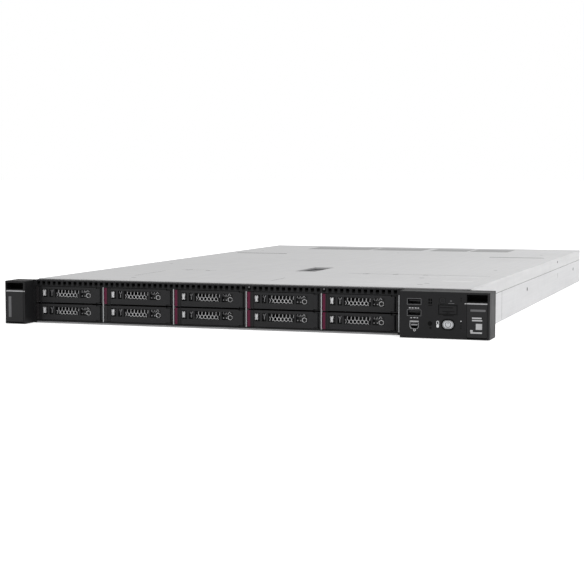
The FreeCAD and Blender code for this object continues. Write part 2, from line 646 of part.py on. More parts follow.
def trayHandle():
    """The black lever over the tray's front, with four windows, on a barrel at its right end.

    Each window's ends are shares of the handle's length.
    """
    low = "handle_inset"
    high = TRAY_HEIGHT + " - handle_inset"
    neck = HINGE_X + " - 2.5"
    plate = block("HandlePlate", (HANDLE_LEFT, neck), ("bay_recess", "bay_recess + handle_thick"),
                  (low, high))
    link = block("HandleNeck", (neck, HINGE_X), ("bay_recess", "bay_recess + handle_thick"),
                 ("1.2", TRAY_HEIGHT + " - 1.2"))
    axis = (HINGE_X, "bay_recess + handle_thick/2")
    barrel = rod("HandleBarrel", "z", axis, ("1.2", TRAY_HEIGHT + " - 1.2"), "handle_thick/2")
    bore = rod("HandleBore", "z", axis, ("0", TRAY_HEIGHT), "pin_radius + pin_play")
    windows = []
    for left, right in ((0.011, 0.098), (0.127, 0.198), (0.222, 0.635), (0.66, 0.84)):
        across = ["%s + %g*%s" % (HANDLE_LEFT, share, HANDLE_LENGTH) for share in (left, right)]
        windows.append(block("HandleWindow", across,
                             ("bay_recess - 1", "bay_recess + handle_thick + 1"),
                             (WINDOW_MIDDLE + " - mesh_window/2", WINDOW_MIDDLE + " + mesh_window/2")))
    return cut("HandleCut", fuse("HandleSolid", plate, link, barrel), bore, *windows)


def driveTrays():
    """Ten trays, each a sled with its drive, mesh and hinge pin, a handle and a release tab."""
    sled = traySled()
    mesh = trayMesh()
    handle = trayHandle()
    axis = (HINGE_X, "bay_recess + handle_thick/2")
    pin = rod("TrayPin", "z", axis, ("0.9", TRAY_HEIGHT + " - 0.9"), "pin_radius")
    middle = TRAY_WIDTH + "/2"
    halfDrive = "(%s/2 - tray_sheet - drive_play/2)" % TRAY_WIDTH
    drive = block("Drive", ("%s - %s" % (middle, halfDrive), "%s + %s" % (middle, halfDrive)),
                  ("bay_recess + 20", "bay_recess + 20 + drive_length"),
                  ("tray_sheet", "tray_sheet + drive_height"))
    release = block("ReleaseTab", ("0.1", "0.1 + release_width"), ("bay_recess", "bay_recess + 3"),
                    ("handle_inset", TRAY_HEIGHT + " - handle_inset"))
    for row in range(ROWS):
        for column in range(COLUMNS):
            number = 1 + column + COLUMNS * (ROWS - 1 - row)
            x = "-body_width/2 + bay_margin + %d*%s + divider_wall/2 + clearance" % (column, COLUMN_PITCH)
            z = "%s + %d*%s" % (TRAY_BOTTOM, row, ROW_PITCH)
            subPart("drive_tray_%d" % number, [sled, mesh, pin, drive], x, z)
            subPart("tray_handle_%d" % number, [handle], x, z)
            subPart("tray_release_%d" % number, [release], x, z)


def backplane():
    """The board that the drives plug into, with a connector for each."""
    back = "bay_recess + tray_depth + 8"
    body = newBody("BackplaneBoard")
    extrude(body, "Pad", "XZ", rectangle(("-" + UPPER_IN, BAY_RIGHT), ("chassis_sheet", CAGE_TOP + " + 1")),
            back, back + " + board_sheet")
    line = "(%s + %s)" % (TRAY_BOTTOM, ROW_PITCH)
    gap = rectangle(("-body_width/2 + 18.6", "-body_width/2 + 58.6"), (line + " - 3", line + " + 1"))
    window = extrude(body, "Pocket", "XZ", gap, back + " - 1", back + " + board_sheet + 1")
    repeat(body, window, "X", COLUMN_PITCH, str(COLUMNS))
    plugs = []
    for row in range(ROWS):
        base = "%s + %d*%s" % (TRAY_BOTTOM, row, ROW_PITCH)
        plug = block("DrivePlug%d" % row, ("-body_width/2 + 20", "-body_width/2 + 55"),
                     (back + " - 6", back), (base + " + 3", base + " + 9"))
        plugs += copies("DrivePlugs%d" % row, plug, COLUMNS, "x", COLUMN_PITCH)
    subPart("backplane", [body] + plugs)


# ---- inside ----

def fanFrames():
    """Square fan frames with a round duct, and a bar at the rear that carries the motor shaft."""
    half = FAN_SIZE + "/2"
    low = "chassis_sheet"
    middle = "(chassis_sheet + %s/2)" % FAN_SIZE
    span = ("fan_front", "fan_front + fan_length")
    frame = block("FanFrame", ("-" + half, half), span, (low, "%s + %s" % (low, FAN_SIZE)))
    duct = rod("FanDuct", "y", ("0", middle), ("fan_front - 1", "fan_front + fan_length + 1"),
               BLADE_RADIUS + " + 0.6")
    rear = ("fan_front + fan_length - 3", "fan_front + fan_length")
    bar = block("FanBar", ("-" + half, half), rear, (middle + " - 2", middle + " + 2"))
    shaft = rod("FanShaft", "y", ("0", middle), ("fan_front + fan_length - 8", "fan_front + fan_length"),
                "1.5")
    fan = fuse("FanHousing", cut("FanDucted", frame, duct), shaft, bar)
    subPart("fan_frames", copies("FanPlaced", fan, FANS, "x", FAN_PITCH, "-2.5*" + FAN_PITCH))


def fanRotors():
    """A faceted hub on the fan's shaft with five pitched blades."""
    middle = "(chassis_sheet + %s/2)" % FAN_SIZE
    span = ("fan_front + 12", "fan_front + fan_length - 4")
    hub = doc.addObject("Part::Prism", "FanHub")
    hub.Polygon = 16
    hub.Placement.Rotation = FreeCAD.Rotation(FreeCAD.Vector(1, 0, 0), -90)
    bind(hub, "Circumradius", "hub_radius")
    bind(hub, "Height", "(%s) - (%s)" % span[::-1])
    bind(hub, "Placement.Base.y", span[0])
    bind(hub, "Placement.Base.z", middle)
    boreSpan = ("fan_front + fan_length - 8.5", "fan_front + fan_length")
    bore = rod("FanHubBore", "y", ("0", middle), boreSpan, "1.5 + pin_play")
    blade = block("FanBlade", ("hub_radius - 1.5", BLADE_RADIUS + " - 1.2"), ("-10", "10"), ("-0.6", "0.6"))
    pitched = doc.addObject("Part::Compound", "FanBladePitched")
    pitched.Links = [blade]
    pitched.Placement.Rotation = FreeCAD.Rotation(FreeCAD.Vector(1, 0, 0), 25)
    blades = []
    for index in range(5):
        turned = doc.addObject("Part::Compound", "FanBladeTurned")
        turned.Links = [pitched]
        turned.Placement.Rotation = FreeCAD.Rotation(FreeCAD.Vector(0, 1, 0), 72 * index)
        bind(turned, "Placement.Base.y", "fan_front + fan_length/2")
        bind(turned, "Placement.Base.z", middle)
        blades.append(turned)
    rotor = cut("FanRotor", fuse("FanWheel", hub, *blades), bore)
    for index in range(FANS):
        subPart("fan_rotor_%d" % (index + 1), [rotor], "(%d - 2.5)*%s" % (index, FAN_PITCH))


def motherboard():
    """The L-shaped main board on its stand-offs, with the two processor sockets."""
    body = newBody("MainBoard")
    top = "board_lift + board_sheet"
    left = "(-body_width/2 + 4.6)"
    right = "(body_width/2 - 4.6)"
    inner = "(%s - supply_pitch - supply_width - 4)" % SUPPLY_RIGHT
    outline = [(left, "264"), (right, "264"), (right, SUPPLY_FRONT + " - 6"),
               (inner, SUPPLY_FRONT + " - 6"), (inner, fromRear(4)), (left, fromRear(4))]
    extrude(body, "Pad", "XY", outline, "board_lift", top)
    pieces = [body]
    places = [(x, y) for x in (left + " + 14", "0") for y in ("275", fromRear(24))]
    places += [(right + " - 14", "275"), (right + " - 14", "480")]
    for index, (x, y) in enumerate(places):
        pieces.append(block("StandOff%d" % index, (x + " - 3", x + " + 3"), (y + " - 3", y + " + 3"),
                            ("chassis_sheet", "board_lift")))
    for name, centre in (("Left", "-" + SOCKET_PLACE), ("Right", SOCKET_PLACE)):
        pieces.append(block("Socket" + name, (centre + " - 38", centre + " + 38"), ("316", "394"),
                            (top, top + " + 4")))
    chip = block("ControlChip", ("-70", "-35"), (fromRear(174), fromRear(139)), (top, top + " + 3"))
    riser = block("RiserCard", ("-99", "-97"), (fromRear(174), fromRear(22)), (top, "body_height - 5"))
    subPart("motherboard", pieces + [chip, riser])


def heatSinks():
    """A finned block on each processor."""
    base = "(board_lift + board_sheet + 4)"
    body = newBody("HeatSink")
    extrude(body, "Pad", "XY", rectangle(("-39", "39"), ("301", "409")), base, base + " + 5")
    finOutline = rectangle(("-39", "-38"), ("301", "409"))
    fin = extrude(body, "Pad", "XY", finOutline, base + " + 5", "body_height - 5")
    repeat(body, fin, "X", "77/11", "12")
    subPart("heat_sinks", copies("HeatSinkPlaced", body, 2, "x", "2*" + SOCKET_PLACE, "-" + SOCKET_PLACE))


def memoryModules():
    """Four banks of memory boards beside the processors, each bank in its row of sockets."""
    top = "(board_lift + board_sheet)"
    span = ("288", "288 + dimm_length")
    made = []
    starts = ["-%s - 98" % SOCKET_PLACE, "-%s + 46" % SOCKET_PLACE,
              SOCKET_PLACE + " - 90", SOCKET_PLACE + " + 54"]
    for bank, first in enumerate(starts):
        sockets = block("DimmSockets%d" % bank, (first, first + " + 5*dimm_pitch + 6"),
                        (span[0] + " - 4", span[1] + " + 4"), (top, top + " + 5"))
        board = block("Dimm%d" % bank, (first + " + 2.4", first + " + 3.6"), span,
                      (top + " + 5", "body_height - 7"))
        made += [sockets] + copies("DimmBank%d" % bank, board, DIMMS_PER_BANK, "x", "dimm_pitch")
    subPart("memory_modules", made)


# ---- power supplies ----

def supplySolids():
    """A supply with its fan grille, inlet and carrying loop, drawn as the right-hand one."""
    right = SUPPLY_RIGHT
    left = "(%s - supply_width)" % SUPPLY_RIGHT
    low = "(chassis_sheet + clearance)"
    high = "(chassis_sheet + clearance + %s)" % SUPPLY_HEIGHT
    case = newBody("SupplyCase")
    extrude(case, "Pad", "XZ", rectangle((left, right), (low, high)), SUPPLY_FRONT, "body_depth")
    inlet = rectangle((right + " - 32", right + " - 5"), (low + " + 8", low + " + 28"))
    extrude(case, "Pocket", "XZ", inlet, "body_depth - 16", "body_depth + 1")
    releaseWay = rectangle((right + " - 44", right + " - 33.6"), (low + " + 4", low + " + 11"))
    extrude(case, "Pocket", "XZ", releaseWay, "body_depth - 14", "body_depth + 1")
    centre = left + " + 17.5"
    slots = []
    for step in range(-2, 3):
        height = "%s + %s/2 + %d*5.6" % (low, SUPPLY_HEIGHT, step)
        reach = "%.1f" % math.sqrt(14.5 ** 2 - (step * 5.6) ** 2)
        slots.append(block("SupplyVent%d" % step, ("%s - %s" % (centre, reach), "%s + %s" % (centre, reach)),
                           ("body_depth - 2", "body_depth + 1"), (height + " - 1.6", height + " + 1.6")))
    grip = block("SupplyGrip", (centre + " - 15", centre + " + 19"),
                 ("body_depth", "body_depth + handle_reach"), (low + " + 16", low + " + 24"))
    opening = block("SupplyGripGap", (centre + " - 12", centre + " + 16"),
                    ("body_depth - 1", "body_depth + handle_reach - 3"), (low + " + 15", low + " + 25"))
    return [cut("SupplyVented", case, *slots), cut("SupplyLoop", grip, opening)]


def supplyRelease():
    """The thumb tab that frees a supply, pressed sideways."""
    right = SUPPLY_RIGHT
    low = "(chassis_sheet + clearance)"
    stem = block("ReleaseStem", (right + " - 40.4", right + " - 33.9"), ("body_depth - 13", "body_depth"),
                 (low + " + 4.3", low + " + 10.7"))
    thumb = block("ReleaseThumb", (right + " - 40.4", right + " - 38.4"), ("body_depth", "body_depth + 10"),
                  (low + " + 4.3", low + " + 10.7"))
    return fuse("SupplyReleaseSolid", stem, thumb)


def powerSupplies():
    solids = supplySolids()
    release = supplyRelease()
    for index in range(2):
        shift = "-%d*supply_pitch" % index
        subPart("power_supply_%d" % (index + 1), solids, shift)
        subPart("supply_release_%d" % (index + 1), [release], shift)


def build():
    chassisTray()
    frontCover()
    topCover()
    coverLatch()
    frontGrille()
    rearPanel()
    ear, rackScrew = earSolids()
    subPart("left_ear", ear)
    subPart("right_ear", [mirrored("EarMirror%d" % i, piece) for i, piece in enumerate(ear)] + [ioHousing()])
    latch = latchSolids()
    subPart("rack_latch_left", latch)
    subPart("rack_latch_right", [mirrored("LatchMirror%d" % i, piece) for i, piece in enumerate(latch)])
    subPart("rack_screws", [rackScrew, mirrored("RackScrewRight", rackScrew)])
    connectors()
    powerButton()
    idButton()
    infoTab()
    driveCage()
    driveTrays()
    backplane()
    fanFrames()
    fanRotors()
    motherboard()
    heatSinks()
    memoryModules()
    powerSupplies()


def check():
    """Stops if anything failed, if a pocket cut nothing, or if a sub-part has no sound shape."""
    for thing in doc.Objects:
        if "Invalid" in thing.State or "Error" in thing.State:
            raise RuntimeError("%s did not recompute" % thing.Name)
        if thing.TypeId == "PartDesign::Pocket":
            if thing.Shape.Volume > thing.BaseFeature.Shape.Volume - 0.01:
                raise RuntimeError("%s cut nothing" % thing.Name)
    for part in subParts:
        if part.Shape.isNull() or not part.Shape.isValid():
            raise RuntimeError("%s has no valid shape" % part.Label)


build()
doc.recompute()
check()
os.makedirs("parts", exist_ok=True)
for part in subParts:
    part.Shape.exportStep("parts/%s.step" % part.Label)
print("%d sub-parts, %d solids" % (len(subParts), sum(len(p.Shape.Solids) for p in subParts)))
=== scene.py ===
import bpy
import math
import numpy as np
from mathutils import Euler, Matrix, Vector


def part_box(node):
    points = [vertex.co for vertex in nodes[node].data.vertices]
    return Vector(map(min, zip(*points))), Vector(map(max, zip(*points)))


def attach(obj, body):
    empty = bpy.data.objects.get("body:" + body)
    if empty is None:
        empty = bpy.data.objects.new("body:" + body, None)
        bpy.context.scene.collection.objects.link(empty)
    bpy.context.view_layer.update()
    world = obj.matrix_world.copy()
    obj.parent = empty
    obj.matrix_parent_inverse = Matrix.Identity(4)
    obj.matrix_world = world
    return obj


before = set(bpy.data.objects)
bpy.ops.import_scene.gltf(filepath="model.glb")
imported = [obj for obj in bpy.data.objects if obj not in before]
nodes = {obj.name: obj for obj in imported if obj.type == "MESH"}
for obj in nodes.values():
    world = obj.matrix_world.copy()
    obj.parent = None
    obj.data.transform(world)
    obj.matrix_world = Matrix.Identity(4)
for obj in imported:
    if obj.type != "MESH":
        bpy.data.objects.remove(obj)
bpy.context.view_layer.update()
mm = 0.001
trayCount = 10
supplyCount = 2
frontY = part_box("right_ear")[0][1]      # the ears' front face
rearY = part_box("rear_panel")[1][1]


def inMm(length):
    # a length from the frame, in mm to two places
    return round(length / mm, 2)


topHigh = inMm(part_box("top_cover")[1][2])
bodySide = inMm(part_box("chassis_tray")[1][0])
earSide = inMm(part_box("right_ear")[1][0])
bodyDeep = inMm(rearY - frontY)
print("frame loaded:", len(nodes), "nodes")


# lengths are in mm until makeObject turns them into metres

def at(x, y, z):
    # a place in mm, with y counted back from the ears' front face
    return np.array([x, y + frontY / mm, z], float)


# the ways a small piece can face: across, up, outwards
faceFront = np.array([(1.0, 0, 0), (0, 0, 1), (0, -1, 0)])
faceRear = np.array([(-1.0, 0, 0), (0, 0, 1), (0, 1, 0)])
faceTop = np.array([(1.0, 0, 0), (0, 1, 0), (0, 0, 1)])
faceRight = np.array([(0.0, 1, 0), (0, 0, 1), (1, 0, 0)])
faceLeft = np.array([(0.0, -1, 0), (0, 0, 1), (-1, 0, 0)])
bothSides = ((-1, faceLeft), (1, faceRight))


def roundedOutline(halfWide, halfHigh, corner, inset, steps):
    # a rectangle shrunk all round by inset, its corners quarter circles of what is left of the corner
    radius = max(min(corner, halfWide, halfHigh) - inset, 0.01)
    angle = np.linspace(0, math.pi / 2, steps)
    arcs = []
    for turn, (sx, sz) in enumerate(((1, 1), (-1, 1), (-1, -1), (1, -1))):
        a = angle + turn * math.pi / 2
        middle = np.array([sx * (halfWide - inset - radius), sz * (halfHigh - inset - radius)])
        arcs.append(middle + radius * np.stack([np.cos(a), np.sin(a)], 1))
    return np.concatenate(arcs)


def outward(points, faces):
    # turns a closed shape's faces round if its signed volume comes out negative
    fans = [(f[0], f[k], f[k + 1]) for f in faces for k in range(1, len(f) - 1)]
    t = points[np.array(fans)]
    volume = np.einsum("ij,ij->i", t[:, 0], np.cross(t[:, 1], t[:, 2])).sum()
    return points, faces if volume > 0 else [f[::-1] for f in faces]


def ringSurface(rings, closed=False):
    # a grid of rings, points round each; closed joins the last ring to the first, else both ends get a cap
    rings = np.asarray(rings, float)
    m, n = rings.shape[:2]
    rows = np.arange(m if closed else m - 1)
    i, j = np.meshgrid(rows, np.arange(n), indexing="ij")
    a = i * n + j
    b = i * n + (j + 1) % n
    c = ((i + 1) % m) * n + (j + 1) % n
    d = ((i + 1) % m) * n + j
    faces = np.stack([a, b, c, d], -1).reshape(-1, 4).tolist()
    if not closed:
        faces.append(list(range(n - 1, -1, -1)))
        faces.append(list(range((m - 1) * n, m * n)))
    return outward(rings.reshape(-1, 3), faces)


def skin(where, facing, stages, closed=False):
    # a surface through flat outlines, each laid on the face at its own height above it
    across, up, out = facing
    rings = [where + flat[:, :1] * across + flat[:, 1:] * up + height * out for flat, height in stages]
    return ringSurface(rings, closed)


def roundedStages(wide, high, corner, profile, steps):
    # a rounded rectangle drawn in by each inset of the profile, at that height
    return [(roundedOutline(wide / 2, high / 2, corner, inset, steps), height) for inset, height in profile]


def scaledStages(outline, profile):
    # an outline shrunk to each share of the profile, at that height
    return [(outline * share, height) for share, height in profile]


def pad(where, facing, wide, high, corner, thick, edge=0.2, sunk=0.05, steps=5):
    # a flat plate with round corners whose front edge is a quarter round
    profile = [(0, -sunk), (0, thick - edge)]
    for angle in (30, 60, 90):
        turn = math.radians(angle)
        profile.append((edge * (1 - math.cos(turn)), thick - edge + edge * math.sin(turn)))
    return skin(where, facing, roundedStages(wide, high, corner, profile, steps))


def disc(where, facing, radius, thick, edge=0.2, sunk=0.05, steps=7):
    # a pad whose corners join into a circle
    return pad(where, facing, 2 * radius, 2 * radius, radius, thick, edge, sunk, steps)


def frameRing(where, facing, wide, high, corner, band, thick, edge=0.12, sunk=0.05, steps=5):
    # a closed rim: a rounded rectangle carried in from its outer to its inner edge and back under itself
    profile = [(0, -sunk), (0, thick - edge), (edge, thick),
               (band - edge, thick), (band, thick - edge), (band, -sunk)]
    return skin(where, facing, roundedStages(wide, high, corner, profile, steps), closed=True)


def screwHead(where, facing, radius, thick, socket=0.45):
    # a round head whose middle drops into a socket: one closed outline turned from rim to socket floor
    mouth = radius * (1 - socket)
    profile = [(0, -0.1), (0, thick * 0.5), (radius * 0.18, thick), (mouth, thick),
               (mouth + 0.02, thick * 0.35)]
    return skin(where, facing, roundedStages(2 * radius, 2 * radius, radius, profile, 5))


def plate(where, facing, corners, thick, edge=0.12, sunk=0.05):
    # a flat plate of any outline; its front edge is bevelled by drawing the outline towards its middle
    corners = np.asarray(corners, float)
    middle = corners.mean(0)
    reach = np.abs(corners - middle).max()
    profile = [(0, -sunk), (0, thick - edge), (edge, thick)]
    stages = [(middle + (corners - middle) * (1 - inset / reach), height) for inset, height in profile]
    return skin(where, facing, stages)


def strip(where, facing, path, wide, thick, sunk=0.05):
    # a flat bar carried along a path: each ring is the bar's section across the path's own direction
    path = np.asarray(path, float)
    along = np.gradient(path, axis=0)
    along /= np.linalg.norm(along, axis=1)[:, None]
    side = np.stack([-along[:, 1], along[:, 0]], 1) * wide / 2
    across, up, out = facing
    rings = []
    for point, half in zip(path, side):
        low, high = point - half, point + half
        section = [(low, -sunk), (high, -sunk), (high, thick), (low, thick)]
        rings.append([where + u[0] * across + u[1] * up + h * out for u, h in section])
    return ringSurface(rings)


def arc(middle, radius, start, end, steps=8):
    # points on a circle between two angles in degrees
    a = np.radians(np.linspace(start, end, steps))
    return np.asarray(middle, float) + radius * np.stack([np.cos(a), np.sin(a)], 1)


def hexRing(where, facing, flat, hole, thick, edge=0.12, sunk=0.05, steps=12):
    # one cell of a honeycomb: a six-sided rim, its side held at half the flat over the cosine of the
    # angle from the nearest flat, joined to a round hole
    a = np.linspace(0, 2 * math.pi, steps, endpoint=False)
    circle = np.stack([np.cos(a), np.sin(a)], 1)
    sixth = math.pi / 3
    rim = flat / 2 / np.cos((a + sixth / 2) % sixth - sixth / 2)
    profile = ((rim, -sunk), (rim, thick), (hole + edge, thick), (hole, thick - edge), (hole, -sunk))
    stages = [(circle * np.broadcast_to(radius, a.shape)[:, None], height) for radius, height in profile]
    return skin(where, facing, stages, closed=True)


def makeObject(name, parts, material, body="chassis"):
    # joins parts into one mesh, in metres, and sets it on its body
    points, faces, start = [], [], 0
    for p, f in parts:
        points.append(p)
        faces += [[k + start for k in face] for face in f]
        start += len(p)
    mesh = bpy.data.meshes.new(name)
    mesh.from_pydata((np.concatenate(points) * mm).tolist(), [], faces)
    mesh.validate()
    mesh.materials.append(material)
    obj = bpy.data.objects.new(name, mesh)
    bpy.context.scene.collection.objects.link(obj)
    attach(obj, body)


# finishes: every pattern reads Object coordinates, in metres
noiseSpan = (0.3, 0.7)      # where most of a noise's values lie
metalLook = {"spangle": 90.0, "rolled": 420, "rolledStretch": (1, 0.02, 1), "cloud": 9,
             "smoother": 0.05, "rougher": 0.07, "bump": 0.05, "bumpDeep": 0.0002}
mouldLook = {"grain": 2600, "mottle": 60, "darker": 0.82, "smoother": 0.04, "rougher": 0.06,
             "bumpDeep": 0.0001}
boardLook = {"tracks": 380, "stretch": (1, 0.08, 1), "darker": 0.7, "roughness": 0.35, "bumpDeep": 0.0001}
punchLook = {"edge": (0.36, 0.42), "roughness": 0.5}
darkIndex = 1.28      # the low index keeps dark parts from shining


def newMaterial(name):
    material = bpy.data.materials.new(name)
    material.use_nodes = True
    tree = material.node_tree
    shader = tree.nodes["Principled BSDF"]
    place = tree.nodes.new("ShaderNodeTexCoord").outputs["Object"]
    return material, tree, shader, place


def noiseNode(tree, place, scale, detail, stretch=(1, 1, 1)):
    mapping = tree.nodes.new("ShaderNodeMapping")
    mapping.inputs["Scale"].default_value = stretch
    noise = tree.nodes.new("ShaderNodeTexNoise")
    noise.inputs["Scale"].default_value = scale
    noise.inputs["Detail"].default_value = detail
    tree.links.new(place, mapping.inputs["Vector"])
    tree.links.new(mapping.outputs["Vector"], noise.inputs["Vector"])
    return noise.outputs["Fac"]


def voronoiNode(tree, place, scale):
    cell = tree.nodes.new("ShaderNodeTexVoronoi")
    cell.inputs["Scale"].default_value = scale
    tree.links.new(place, cell.inputs["Vector"])
    return cell


def spread(tree, source, low, high, lowOut, highOut):
    # maps a value from one range to another
    node = tree.nodes.new("ShaderNodeMapRange")
    node.inputs["From Min"].default_value = low
    node.inputs["From Max"].default_value = high
    node.inputs["To Min"].default_value = lowOut
    node.inputs["To Max"].default_value = highOut
    tree.links.new(source, node.inputs["Value"])
    return node.outputs["Result"]


def mixColour(tree, factor, first, second):
    # each colour is a triple or another node's output; a colour mix takes them at inputs 6 and 7
    node = tree.nodes.new("ShaderNodeMix")
    node.data_type = "RGBA"
    for socket, value in ((node.inputs[6], first), (node.inputs[7], second)):
        if isinstance(value, bpy.types.NodeSocket):
            tree.links.new(value, socket)
        else:
            socket.default_value = (*value, 1)
    tree.links.new(factor, node.inputs[0])
    return node.outputs[2]


def bumpFrom(tree, shader, height, strength, distance):
    node = tree.nodes.new("ShaderNodeBump")
    node.inputs["Strength"].default_value = strength
    node.inputs["Distance"].default_value = distance
    tree.links.new(height, node.inputs["Height"])
    tree.links.new(node.outputs["Normal"], shader.inputs["Normal"])


def above(tree, place, axis, height):
    # 1 where a coordinate is above a height in metres, else 0
    split = tree.nodes.new("ShaderNodeSeparateXYZ")
    tree.links.new(place, split.inputs[0])
    test = tree.nodes.new("ShaderNodeMath")
    test.operation = "GREATER_THAN"
    test.inputs[1].default_value = height
    tree.links.new(split.outputs["XYZ".index(axis)], test.inputs[0])
    return test.outputs[0]


def eitherRay(tree, *kinds):
    # 1 for a ray of either kind, else 0
    path = tree.nodes.new("ShaderNodeLightPath")
    either = tree.nodes.new("ShaderNodeMath")
    either.operation = "MAXIMUM"
    for kind, socket in zip(kinds, either.inputs):
        tree.links.new(path.outputs[kind], socket)
    return either.outputs[0]


def sheetMetal(name, colour, contrast, roughness, metallic):
    # galvanised sheet: faint spangle, long rolling marks, a little wear in the gloss
    material, tree, shader, place = newMaterial(name)
    cell = voronoiNode(tree, place, metalLook["spangle"])
    grain = tree.nodes.new("ShaderNodeSeparateColor")
    tree.links.new(cell.outputs["Color"], grain.inputs[0])
    rolled = noiseNode(tree, place, metalLook["rolled"], 2, metalLook["rolledStretch"])
    cloud = noiseNode(tree, place, metalLook["cloud"], 4)
    dark = tuple(c * (1 - contrast) for c in colour)
    lighter = tuple(min(1, c * (1 + contrast)) for c in colour)
    base = mixColour(tree, spread(tree, cloud, *noiseSpan, 0, 1), dark, colour)
    tint = mixColour(tree, spread(tree, grain.outputs[0], 0, 1, 0, 0.5), base, lighter)
    tree.links.new(tint, shader.inputs["Base Color"])
    smooth, rough = roughness - metalLook["smoother"], roughness + metalLook["rougher"]
    tree.links.new(spread(tree, rolled, *noiseSpan, smooth, rough), shader.inputs["Roughness"])
    shader.inputs["Metallic"].default_value = metallic
    bumpFrom(tree, shader, rolled, metalLook["bump"], metalLook["bumpDeep"])
    return material


def moulding(name, colour, roughness, grain=0.12, bright=None, index=1.34):
    # moulded plastic: fine spark-eroded grain and slow mottling; bright is (axis, height, colour) of a band
    material, tree, shader, place = newMaterial(name)
    fine = noiseNode(tree, place, mouldLook["grain"], 2)
    slow = noiseNode(tree, place, mouldLook["mottle"], 3)
    darker = tuple(c * mouldLook["darker"] for c in colour)
    base = mixColour(tree, spread(tree, slow, *noiseSpan, 0, 1), darker, colour)
    if bright:
        axis, height, lit = bright
        base = mixColour(tree, above(tree, place, axis, height), base, lit)
    tree.links.new(base, shader.inputs["Base Color"])
    smooth, rough = roughness - mouldLook["smoother"], roughness + mouldLook["rougher"]
    tree.links.new(spread(tree, slow, *noiseSpan, smooth, rough), shader.inputs["Roughness"])
    shader.inputs["IOR"].default_value = index
    bumpFrom(tree, shader, fine, grain, mouldLook["bumpDeep"])
    return material


def twoTone(material, depth, colour, rearDark=False):
    # the same finish, dark and no metal in front of a depth in metres, or behind it with rearDark
    tree = material.node_tree
    shader = tree.nodes["Principled BSDF"]
    shader.inputs["IOR"].default_value = darkIndex
    place = tree.nodes.new("ShaderNodeTexCoord").outputs["Object"]
    behind = above(tree, place, "Y", depth)
    if rearDark:
        behind = spread(tree, behind, 0, 1, 1, 0)
    base = shader.inputs["Base Color"].links[0].from_socket
    tree.links.new(mixColour(tree, behind, colour, base), shader.inputs["Base Color"])
    metal = shader.inputs["Metallic"]
    tree.links.new(spread(tree, behind, 0, 1, 0, metal.default_value), metal)
    return material


def perforated(name, hole, metal, pitch):
    # punched sheet: round dark holes in a square field, told by the distance to the nearest centre
    material, tree, shader, place = newMaterial(name)
    cell = voronoiNode(tree, place, 1 / pitch)
    cell.inputs["Randomness"].default_value = 0
    inHole = spread(tree, cell.outputs["Distance"], *punchLook["edge"], 0, 1)
    tree.links.new(mixColour(tree, inHole, hole, metal), shader.inputs["Base Color"])
    shader.inputs["Roughness"].default_value = punchLook["roughness"]
    return material


def circuitBoard(name, colour):
    # solder mask over fine copper tracks: a noise stretched along one axis, cut sharply into two tones
    material, tree, shader, place = newMaterial(name)
    tracks = noiseNode(tree, place, boardLook["tracks"], 1, boardLook["stretch"])
    darker = tuple(c * boardLook["darker"] for c in colour)
    base = mixColour(tree, spread(tree, tracks, 0.45, 0.55, 0, 1), darker, colour)
    tree.links.new(base, shader.inputs["Base Color"])
    shader.inputs["Roughness"].default_value = boardLook["roughness"]
    bumpFrom(tree, shader, tracks, 0.1, boardLook["bumpDeep"])
    return material


meshTone = (0.0074, 0.0074, 0.0082)
coreTone = (0.022, 0.022, 0.024)
bandTone = (0.40, 0.40, 0.41)
trayDark = frontY + 39 * mm      # the trays are dark in front of this, and bright behind
portDark = frontY + 300 * mm
supplyDark = rearY + 0.1 * mm
bandLow = 31.6 * mm              # the latches' bright band starts at this height

sheet = sheetMetal("galvanisedSheet", (0.60, 0.60, 0.605), 0.05, 0.42, 0.25)
sideSheet = sheetMetal("foldedSheet", (0.61, 0.61, 0.62), 0.04, 0.42, 0.2)
trayMetal = twoTone(sheetMetal("brightTray", (0.60, 0.60, 0.61), 0.06, 0.35, 0.6), trayDark, meshTone)
cageMetal = sheetMetal("cageSheet", (0.42, 0.43, 0.44), 0.06, 0.4, 0.3)
black = moulding("blackMoulding", (0.0112, 0.0112, 0.0120), 0.5, index=1.27)
bezelBlack = moulding("bezelMoulding", (0.0135, 0.0135, 0.0146), 0.55, index=1.25)
handleBlack = moulding("handleMoulding", (0.0160, 0.0160, 0.0172), 0.5, index=1.29)
leverGrey = moulding("leverMoulding", (0.17, 0.17, 0.175), 0.5)
# painted shade: maroon darkened almost to black, for release tabs that lie in shade and for the shaded step
# along each tab
shadedMaroon = moulding("shadedMaroon", (0.0110, 0.0095, 0.0105), 0.5)
# near-black: painted shade in holes, gaps, grooves, slots and recesses, and the own black of the unlit lamps
# and the port cores
blackAndShade = moulding("blackAndShade", (0.003, 0.003, 0.003), 0.8, grain=0.02, index=1.2)
maroon = moulding("maroonMoulding", (0.095, 0.004, 0.028), 0.5, index=1.30)
pale = moulding("paleMoulding", (0.62, 0.63, 0.65), 0.35)
plated = sheetMetal("platedShell", (0.45, 0.45, 0.46), 0.05, 0.3, 0.6)
portShell = twoTone(sheetMetal("portShell", (0.45, 0.45, 0.46), 0.05, 0.3, 0.6), portDark, coreTone)
supplyMetal = twoTone(sheetMetal("supplySteel", (0.50, 0.50, 0.505), 0.05, 0.4, 0.4), supplyDark, meshTone,
                      rearDark=True)
cellSilver = moulding("cellSilver", (0.78, 0.78, 0.79), 0.4, grain=0.03)
faintSilver = moulding("faintSilver", (0.30, 0.30, 0.31), 0.5, grain=0.03)
springSilver = moulding("springSilver", (0.50, 0.50, 0.51), 0.5, grain=0.03)
boardGreen = circuitBoard("solderMask", (0.03, 0.15, 0.07))
fins = sheetMetal("finMetal", (0.7, 0.7, 0.71), 0.04, 0.35, 0.7)
markWhite = moulding("printWhite", (0.52, 0.52, 0.53), 0.6, grain=0.02)
markGrey = moulding("printGrey", (0.14, 0.14, 0.145), 0.6, grain=0.02)
dimGrey = moulding("printDim", (0.030, 0.030, 0.032), 0.6, grain=0.02)
sheetShade = moulding("sheetShade", (0.30, 0.30, 0.305), 0.6, grain=0.02)
